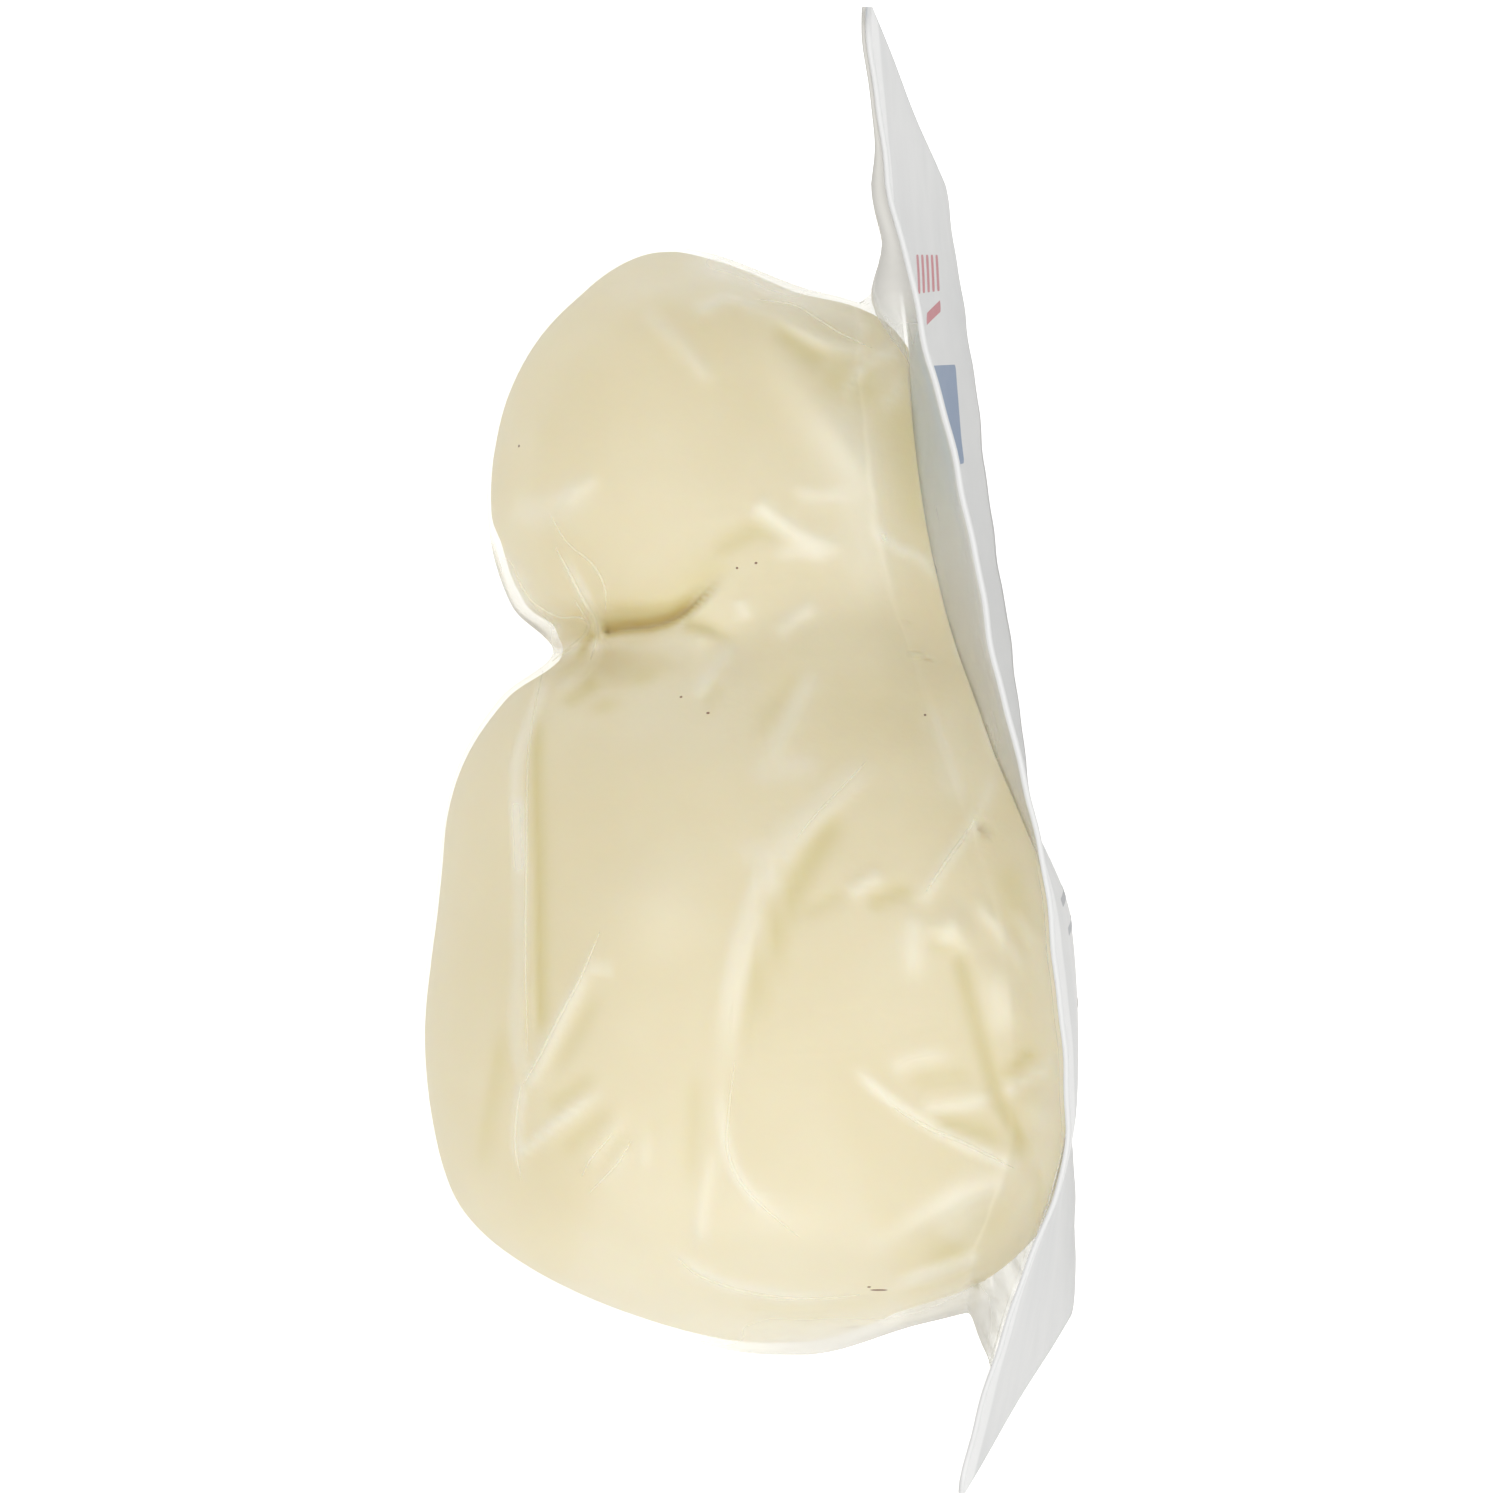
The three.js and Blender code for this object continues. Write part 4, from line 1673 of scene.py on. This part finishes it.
@dataclass
class ClearFilm:
    """The film drawn over the cheese, with the web round it and the flange sealed to the sheet.

    Attributes:
        haze_share: Share of the folds' whiteness that is the film's own.
        fold_haze: Most haze that a fold has.
        free_haze: How hazy it is where it stands free of cheese and sheet.
        free: Distances from the cheese at which it starts to stand free and is free.
        clearance: How far it stays from the table and from the sheet.
        sealed: Distances from the sheet between which its folds start.
        off_sheet: Distances from the sheet between which free film turns hazy.
        lips: Places along the raised edge where the flange is loose: Y, reach along Y, and rise.
        lip_height: Height from which the flange is loose.
        flap: Y between which the loose flange turns hazy.
        flap_haze: How hazy it is, against film that stands quite free.
        foot_web: Share by which the web runs out further at the foot.
        foot_widens: Distances towards the foot between which it does.
        foot_haze: How hazy that web is, against film that stands quite free.
        foot_hazes: Distances towards the foot between which it turns hazy.
        foot_off_sheet: Distances from the sheet between which it does.
        rim: Distances under the sheet's raised edge between which its haze stops thinning straight on.
        ripple: Size and wavelength of its fine unevenness.
        grid: Steps of the wrap's mesh.
        skirt: Steps of the skirt's mesh.
        finish: Its finish.
    """

    haze_share: float = 0.5
    fold_haze: float = 0.6
    free_haze: float = 0.9
    free: Point = (0.7, 1.9)
    clearance: Point = (0.05, 0.3)
    sealed: Point = (0.6, 3.0)
    off_sheet: Point = (8.0, 16.0)
    lips: tuple[Triple, ...] = ((49.5, 4.2, 1.0), (41.0, 4.0, 3.0))
    lip_height: Point = (66.0, 84.0)
    flap: Point = (36.0, 44.0)
    flap_haze: float = 1.3
    foot_web: float = 0.3
    foot_widens: Point = (44.0, 56.0)
    foot_haze: float = 0.85
    foot_hazes: Point = (46.0, 54.0)
    foot_off_sheet: Point = (0.8, 3.0)
    rim: Point = (1.0, 0.1)
    ripple: Point = (0.05, 5.0)
    grid: LoftGrid = LoftGrid(290, 290)
    skirt: PlateGrid = PlateGrid(136, 86)
    finish: FilmFinish = FilmFinish()

    # The seam's width in metres, and how far and how strongly it is rounded
    SEAM_WIDTH = 2e-5
    SEAM_REACH = 2.4
    SEAM_PASSES = 14
    SEAM_SHARE = 0.6
    CONTACT_GRID = LoftGrid(130, 140, 1.0)
    CONTACT_GAP = 0.5

    def skirt_faces(self) -> tuple[Array, Array]:
        """X of the skirt's open face, with web and loose lips, and of its face on the sheet."""
        contact = self.CONTACT_GRID.build("contact")
        touching = FORM.pressed(points_of(contact.data), 0, self.CONTACT_GAP)
        remove_piece(contact)
        gap = FORM.sheet_x(touching[:, 1], touching[:, 2]) - touching[:, 0]
        near = tree_of((0, y, z) for _, y, z in touching[gap < FORM.web_rise])
        y, z = self.skirt.places()
        away = np.array([near.find((0, *place))[2] for place in zip(y, z)])
        sealed = FORM.sheet_x(y, z) + WAVER.at(y, z) - FORM.film_gap
        reach = FORM.web_reach * (1 + self.foot_web * smoothstep(-y, *self.foot_widens))
        web = FORM.web_rise * np.exp(-((away / reach) ** 2))
        loose = smoothstep(z, *self.lip_height)
        for middle, reach, rise in self.lips:
            web = web + rise * loose * np.exp(-(((y - middle) / reach) ** 2))
        return sealed - FORM.flange - web, sealed

    def build(self, cheese: Piece) -> Piece:
        """Joins the wrap and the skirt, smooths their seam and folds them.

        Args:
            cheese: The finished cheese.

        Returns:
            The object, with its haze and how free it stands of the cheese on its vertices.
        """
        wrap = self.grid.build("clear_film")
        move_points(wrap.data, FORM.pressed(points_of(wrap.data), *self.clearance))
        skirt = self.skirt.build("film_skirt", *self.skirt_faces())
        surfaces = [surface_of(wrap), surface_of(skirt)]
        join = wrap.modifiers.new("skirt", "BOOLEAN")
        join.operation = "UNION"
        join.solver = "MANIFOLD"
        join.object = skirt
        film = applied("clear_film", wrap)
        remove_piece(skirt)
        film.data.shade_smooth()
        self._smooth_seam(film.data, surfaces)
        self._mark(film.data, self._fold(film.data), surface_of(cheese))
        return film

    def _smooth_seam(self, mesh: Mesh, surfaces: list[BVHTree]) -> None:
        """Rounds the line where the wrap meets the skirt.

        Args:
            mesh: The joined film.
            surfaces: The wrap and the skirt as they were.
        """
        points = points_of(mesh)
        width = self.SEAM_WIDTH
        on_seam = tree_of(p for p in points * MM if all(s.find_nearest(p)[3] < width for s in surfaces))
        away = np.array([on_seam.find(p)[2] for p in points * MM]) / MM
        weight = np.exp(-((away / self.SEAM_REACH) ** 2))[:, None] * self.SEAM_SHARE
        ends = np.zeros(len(mesh.edges) * 2, np.int32)
        mesh.edges.foreach_get("vertices", ends)
        first, second = ends.reshape(-1, 2).T
        count = np.bincount(ends, minlength=len(points))[:, None].clip(1)
        for _ in range(self.SEAM_PASSES):
            total = np.zeros_like(points)
            np.add.at(total, first, points[second])
            np.add.at(total, second, points[first])
            points += weight * (total / count - points)
        move_points(mesh, points)

    def _fold(self, mesh: Mesh) -> Array:
        """Raises the folds and gives their haze."""
        points, normals = points_of(mesh), normals_of(mesh)
        field = FoldField.over(points, normals)
        size, wavelength = self.ripple
        clear_of_sheet = FORM.sheet_x(points[:, 1], points[:, 2]) - points[:, 0]
        loose = smoothstep(clear_of_sheet, *self.sealed)
        points += normals * (loose * size * wavering(points, wavelength, 3))[:, None]
        points += fold_directions(normals) * (loose * field.film)[:, None]
        points[:, 2] = np.maximum(points[:, 2], self.clearance[0])
        move_points(mesh, points)
        return np.clip(field.haze * self.haze_share, 0, self.fold_haze)

    def _mark(self, mesh: Mesh, haze: Array, cheese: BVHTree) -> None:
        """Writes what the finish reads on the film's vertices.

        Args:
            mesh: The folded film.
            haze: The folds' haze.
            cheese: The cheese's surface.
        """
        points = points_of(mesh)
        x, y, z = points.T
        away = np.array([cheese.find_nearest(p)[3] for p in points * MM]) / MM
        free = smoothstep(away, *self.free)
        clear_of_sheet = FORM.sheet_x(y, z) - x
        flap = self.flap_haze * smoothstep(y, *self.flap) * smoothstep(z, *self.lip_height)
        foot = self.foot_haze * smoothstep(-y, *self.foot_hazes)
        foot = foot * smoothstep(clear_of_sheet, *self.foot_off_sheet)
        apart = np.maximum.reduce([smoothstep(clear_of_sheet, *self.off_sheet), flap, foot])
        at_rim = smoothstep(z, *(FORM.height - below for below in self.rim))
        set_attribute(mesh, "haze", np.clip(haze + self.free_haze * free * apart, 0, 1))
        set_attribute(mesh, "free", free)
        set_attribute(mesh, "thinned", free * (1 - at_rim))

    def dress(self, film: Piece) -> None:
        """Gives it its finish and its place in the frame."""
        attach(film, self.finish.material(), FILM_NODE)


@dataclass
class BackingSheet:
    """The curved sheet of laminated card behind the cheese.

    Attributes:
        thickness: Its thickness.
        inside: Painted shade on its inner face, as greyness.
        shaded: Y between which that painted shade fades in, with the print showing through.
        show_through: Y, reach along Y and strength of the print showing through to its inner face.
        inner_rim: Width of the white rim on its inner face.
        rim_fade: Half the width over which the white rim on its outer face fades.
        grid: Its mesh's steps.
        finish: Its finish.
    """

    thickness: float = 0.5
    inside: float = 0.5
    shaded: Point = (8.0, 30.0)
    show_through: tuple[Triple, ...] = ((30.0, 9.0, 0.5), (14.0, 12.0, 0.15))
    inner_rim: float = 1.4
    rim_fade: float = 0.5
    grid: PlateGrid = PlateGrid(136, 86)
    finish: SheetFinish = SheetFinish()

    def build(self) -> Piece:
        """Makes the sheet's mesh.

        Returns:
            The object, with the print's show-through, the painted shade of its inner face and the white rim
            on its vertices.
        """
        y, z = self.grid.places()
        inner = FORM.sheet_x(y, z) + WAVER.at(y, z)
        sheet = self.grid.build("backing", inner, inner + self.thickness)
        shown = sum(
            share * np.exp(-(((y - middle) / reach) ** 4))
            for middle, reach, share in self.show_through
        )
        margin = FORM.height - FORM.rim_width
        inner_rim = smoothstep(z, FORM.height - self.inner_rim, FORM.height)
        outer_rim = smoothstep(z, margin - self.rim_fade, margin + self.rim_fade)
        # Painted shade: the inner face greyed, with the print showing through, fading in along Y
        shown = np.clip((self.inside + shown) * smoothstep(y, *self.shaded), 0, 1) * (1 - inner_rim)
        set_attribute(sheet.data, "show_through", np.concatenate([shown, np.zeros(len(y))]))
        set_attribute(sheet.data, "rim", np.concatenate([inner_rim, outer_rim]))
        return sheet

    def dress(self, sheet: Piece) -> None:
        """Gives it its finish and its place in the frame."""
        attach(sheet, self.finish.material(), SHEET_NODE)


@dataclass
class FilmPleats:
    """The thin pleats of the film, on both flanks.

    Attributes:
        step: Length of their pieces.
        lift: How far they stand on the film, as a share of their half width.
        sides: Sides of their section.
        tip: Square of their least width, where their middle's is 1.
        finish: Their finish.
    """

    step: float = 0.35
    lift: float = 0.4
    sides: int = 6
    tip: float = 0.05
    finish: FilmFinish = FilmFinish("film_pleat", mirror=(0.0, -0.3), glance=0.5, smoke=(1.0, 0.94, 0.74))

    # How a pleat's length is measured, about how many pixels a millimetre has, and its fewest places
    LENGTH_SAMPLES = 30
    PIXELS_PER_MM = 10
    LEAST_PLACES = 6

    def build(self, film: Piece) -> Piece:
        """Lays each pleat on the film and grows it along its line.

        Args:
            film: The finished film.

        Returns:
            The pleats as one mesh.
        """
        surface = surface_of(film)
        points: list[Array] = []
        edges: list[tuple[int, int]] = []
        widths: list[float] = []
        hazes: list[float] = []
        for side in Side:
            for pleat in PLEATS:
                before = None
                for share, place in self._laid(pleat, surface, side):
                    if before is not None:
                        edges.append((before, len(points)))
                    before = len(points)
                    points.append(place)
                    widths.append(pleat.half_width * MM * max(math.sin(math.pi * share), self.tip) ** 0.5)
                    hazes.append(pleat.haze)
        seeds = new_piece("pleat_seeds", np.array(points))
        seeds.data.edges.add(len(edges))
        seeds.data.edges.foreach_set("vertices", np.array(edges, np.int32).ravel())
        seeds.data.update()
        set_attribute(seeds.data, "half_width", np.array(widths))
        set_attribute(seeds.data, "haze", np.array(hazes))
        set_attribute(seeds.data, "free", np.ones(len(points)))
        return grown("film_pleats", seeds, pleat_tree(), {"Sides": self.sides})

    def _laid(self, pleat: Pleat, film: BVHTree, side: Side) -> list[tuple[float, Array]]:
        """Places along a pleat on one flank.

        Args:
            pleat: The pleat.
            film: The film's surface.
            side: The flank.

        Returns:
            The share of the way along and the place, for each that meets the film.
        """
        line = SmoothLine(pleat.path)
        coarse = line.at(np.linspace(0, 1, self.LENGTH_SAMPLES))
        length = np.linalg.norm(np.diff(coarse, axis=0), axis=1).sum()
        count = max(int(length / (self.step * self.PIXELS_PER_MM)), self.LEAST_PLACES)
        shares = np.linspace(0, 1, count)
        laid = []
        for share, pixel in zip(shares, line.at(shares)):
            start, aim = CAMERA.ray(tuple(pixel))
            if side is Side.FAR:
                start.z, aim.z = 2 * FORM.axis_height * MM - start.z, -aim.z
            place, normal, _, _ = film.ray_cast(start, aim)
            if place is not None:
                laid.append((share, np.array(place) / MM + self.lift * pleat.half_width * np.array(normal)))
        return laid

    def dress(self, pleats: Piece) -> None:
        """Gives them their finish and their place in the frame."""
        attach(pleats, self.finish.material(), None)


class Ink(Enum):
    """The inks of the print."""

    BLUE = InkFinish("blue_ink", (0.14, 0.21, 0.34), (0.20, 0.27, 0.39))
    RED = InkFinish("red_ink", (0.42, 0.07, 0.10), (0.5, 0.13, 0.15))
    GREY = InkFinish("grey_ink", (0.30, 0.31, 0.33), (0.38, 0.39, 0.41))


@dataclass(frozen=True)
class PrintedRow:
    """A row of equal fields of ink on the sheet's outer face.

    Attributes:
        ink: Its ink.
        start: Y and Z of the first field's middle.
        step: Y and Z from one to the next.
        count: How many.
        size: Width along Z and height along Y of each.
        corner: Radius of their corners.
        turn: How far each is turned, in degrees.
    """

    ink: Ink
    start: Point
    step: Point
    count: int
    size: Point
    corner: float
    turn: float = 0.0


@dataclass
class Print:
    """Plain fields and bars of ink on the sheet's outer face.

    Attributes:
        height: Height of the ink above the card.
        rows: The rows of fields.
        outside: X outside the sheet, from which the fields are laid on it.
    """

    height: float = 0.05
    rows: tuple[PrintedRow, ...] = (
        PrintedRow(Ink.RED, (49.6, 47.5), (0.98, -5.4), 5, (2.8, 4.0), 0.5, 10),
        PrintedRow(Ink.RED, (48.3, 30.9), (0, 0), 1, (14.7, 1.3), 0.6, 15),
        PrintedRow(Ink.BLUE, (36.5, 31.5), (0, 0), 1, (40, 11.5), 0.8, 8.5),
        PrintedRow(Ink.GREY, (12, 42), (-3.2, 0), 4, (46, 1.1), 0.5),
        PrintedRow(Ink.GREY, (-15, 38), (-2.8, 0), 2, (54, 0.8), 0.4),
        PrintedRow(Ink.GREY, (-26, 36), (-3.0, 0), 6, (34, 0.9), 0.4),
    )
    outside: float = 100.0

    def build(self, sheet: Piece) -> list[tuple[Ink, Piece]]:
        """Makes one mesh for each ink.

        Args:
            sheet: The backing sheet, which the ink lies on.

        Returns:
            Each ink with its object.
        """
        made = []
        for ink in Ink:
            parts = [self._row(row, sheet) for row in self.rows if row.ink is ink]
            made.append((ink, self._joined(f"print_{ink.name.lower()}", parts)))
        return made

    def _row(self, row: PrintedRow, sheet: Piece) -> Piece:
        """Lays one row of fields on the sheet."""
        steps = np.arange(row.count)[:, None]
        places = np.array(row.start) + steps * np.array(row.step)
        seeds = new_piece("print_seeds", np.column_stack([np.full(row.count, self.outside), places]))
        values = {
            "Width": row.size[1] * MM,
            "Height": row.size[0] * MM,
            "Corner": row.corner * MM,
            "Turn": math.radians(row.turn),
            "Sheet": sheet,
            "Ink Height": self.height * MM,
            "Ray Start": self.outside * MM,
        }
        return grown("print_row", seeds, print_tree(), values)

    @staticmethod
    def _joined(name: str, parts: list[Piece]) -> Piece:
        """Joins meshes into one object.

        Args:
            name: Its name.
            parts: The objects; they are removed.

        Returns:
            The new object.
        """
        whole = bmesh.new()
        for part in parts:
            whole.from_mesh(part.data)
        mesh = bpy.data.meshes.new(name)
        whole.to_mesh(mesh)
        whole.free()
        mesh.shade_smooth()
        for part in parts:
            remove_piece(part)
        return placed(name, mesh)

    def dress(self, inks: list[tuple[Ink, Piece]]) -> None:
        """Gives each ink its finish and its place in the frame."""
        for ink, piece in inks:
            attach(piece, ink.value.material(), None)


@dataclass
class Flecks:
    """Brown specks on the cheese, placed where the photograph shows them.

    Attributes:
        seen: Pixels of the specks that show, with the length and width of each.
        flatness: Their thickness against their width.
        finish: Their finish.
    """

    seen: tuple[tuple[Point, Point], ...] = (
        ((879, 1290), (2.3, 0.5)),
        ((869, 1287), (0.5, 0.4)),
        ((852, 1327), (1.2, 0.25)),
        ((737, 568), (0.35, 0.3)),
        ((756, 563), (0.4, 0.3)),
        ((925, 715), (0.3, 0.3)),
        ((681, 697), (0.3, 0.25)),
        ((708, 713), (0.3, 0.25)),
        ((519, 446), (0.35, 0.3)),
    )
    flatness: float = 0.35
    finish: InkFinish = InkFinish("brown_fleck", (0.16, 0.07, 0.02), (0.28, 0.14, 0.05))

    def build(self, cheese: Piece) -> Piece:
        """Sets each fleck on the cheese's surface.

        Args:
            cheese: The finished cheese.

        Returns:
            The flecks as one mesh.
        """
        surface = surface_of(cheese)
        places, facings, sizes = [], [], []
        for pixel, (length, width) in self.seen:
            place, normal, _, _ = surface.ray_cast(*CAMERA.ray(pixel))
            if place is None:
                continue
            places.append(np.array(place) / MM)
            facings.append(normal)
            sizes.append((length * MM, width * MM, width * MM))
        seeds = new_piece("fleck_seeds", np.array(places))
        set_attribute(seeds.data, "facing", np.array(facings))
        set_attribute(seeds.data, "fleck_size", np.array(sizes))
        return grown("flecks", seeds, fleck_tree(), {"Flatness": self.flatness, "Seed": SEED})

    def dress(self, flecks: Piece) -> None:
        """Gives them their finish and their place in the frame."""
        attach(flecks, self.finish.material(), None)


# The studio


@dataclass
class Studio:
    """A white table under an even sky that is brightest beyond the foot of the pack.

    Attributes:
        sky: Strength of the sky on its dim side and on its bright side.
        lobe: Cosines from the bright side's direction between which the sky brightens.
        key: Direction of the bright side.
        floor_size: Side of the floor in metres.
        floor_white: The floor's colour.
        floor_faint: Brightness of its fainter patches, against that.
        floor_glow: The floor's own light in the camera's eye, which keeps the page white.
        floor_texture: The floor's unevenness; it is flat and equally rough all over.
    """

    sky: Point = (0.68, 1.38)
    lobe: Point = (0.15, 1.0)
    key: Triple = (0.1, -0.4, 0.91)
    floor_size: float = 4.0
    floor_white: Colour = (0.93, 0.93, 0.93)
    floor_faint: float = 0.985
    floor_glow: float = 0.5
    floor_texture: Texture = Texture(8, 90, 0.5, (0.8, 0.8), (0.0, 0.0))

    def build(self) -> None:
        """Makes the light, the floor and the camera."""
        scene = bpy.context.scene
        scene.view_settings.view_transform = "Standard"
        scene.world = bpy.data.worlds.new("studio")
        scene.world.use_nodes = True
        maker = TreeMaker(scene.world.node_tree)
        place = maker.add("ShaderNodeTexCoord").outputs["Generated"]
        bright_side = {0: place, 1: Vector(self.key).normalized()}
        toward = maker.add("ShaderNodeVectorMath", bright_side, operation="DOT_PRODUCT").outputs["Value"]
        ends = dict(zip(("From Min", "From Max", "To Min", "To Max"), (*self.lobe, *self.sky)))
        inputs = {"Value": toward, **ends}
        strength = maker.add("ShaderNodeMapRange", inputs, interpolation_type="SMOOTHSTEP")
        light = {"Color": (1, 1, 1, 1), "Strength": strength.outputs["Result"]}
        maker.feed(maker.tree.nodes["Background"], light)
        CAMERA.build()
        self._floor()

    def _floor(self) -> None:
        """Lays the floor just under the pack."""
        half = self.floor_size / 2
        points = np.array([(-half, -half, 0), (half, -half, 0), (half, half, 0), (-half, half, 0)]) / MM
        floor = new_piece("floor", points, [(0, 1, 2, 3)])
        make = MaterialMaker("white_table")
        patches, _ = make.mottle(self.floor_texture)
        faint = tuple(self.floor_faint * share for share in self.floor_white)
        inputs = {
            "Base Color": make.blend(patches, self.floor_white, faint),
            "Roughness": self.floor_texture.rough[0],
            "Emission Color": (1, 1, 1, 1),
            "Emission Strength": make.math("MULTIPLY", make.camera_ray(), self.floor_glow),
        }
        floor.data.materials.append(make.close(make.add("ShaderNodeBsdfPrincipled", inputs)))


def main() -> None:
    """Builds the pack in order, from the sheet out to the film, and then the studio."""
    logging.basicConfig(level=logging.INFO, format="%(name)s %(message)s")
    backing = BackingSheet()
    sheet = backing.build()
    backing.dress(sheet)
    label = Print()
    label.dress(label.build(sheet))
    cheese = Cheese()
    body = cheese.build()
    film = ClearFilm()
    wrap = film.build(body)
    film.dress(wrap)
    cheese.settle(body, wrap)
    cheese.dress(body)
    flecks = Flecks()
    flecks.dress(flecks.build(body))
    pleats = FilmPleats()
    pleats.dress(pleats.build(wrap))
    Studio().build()


if __name__ == "__main__":
    main()
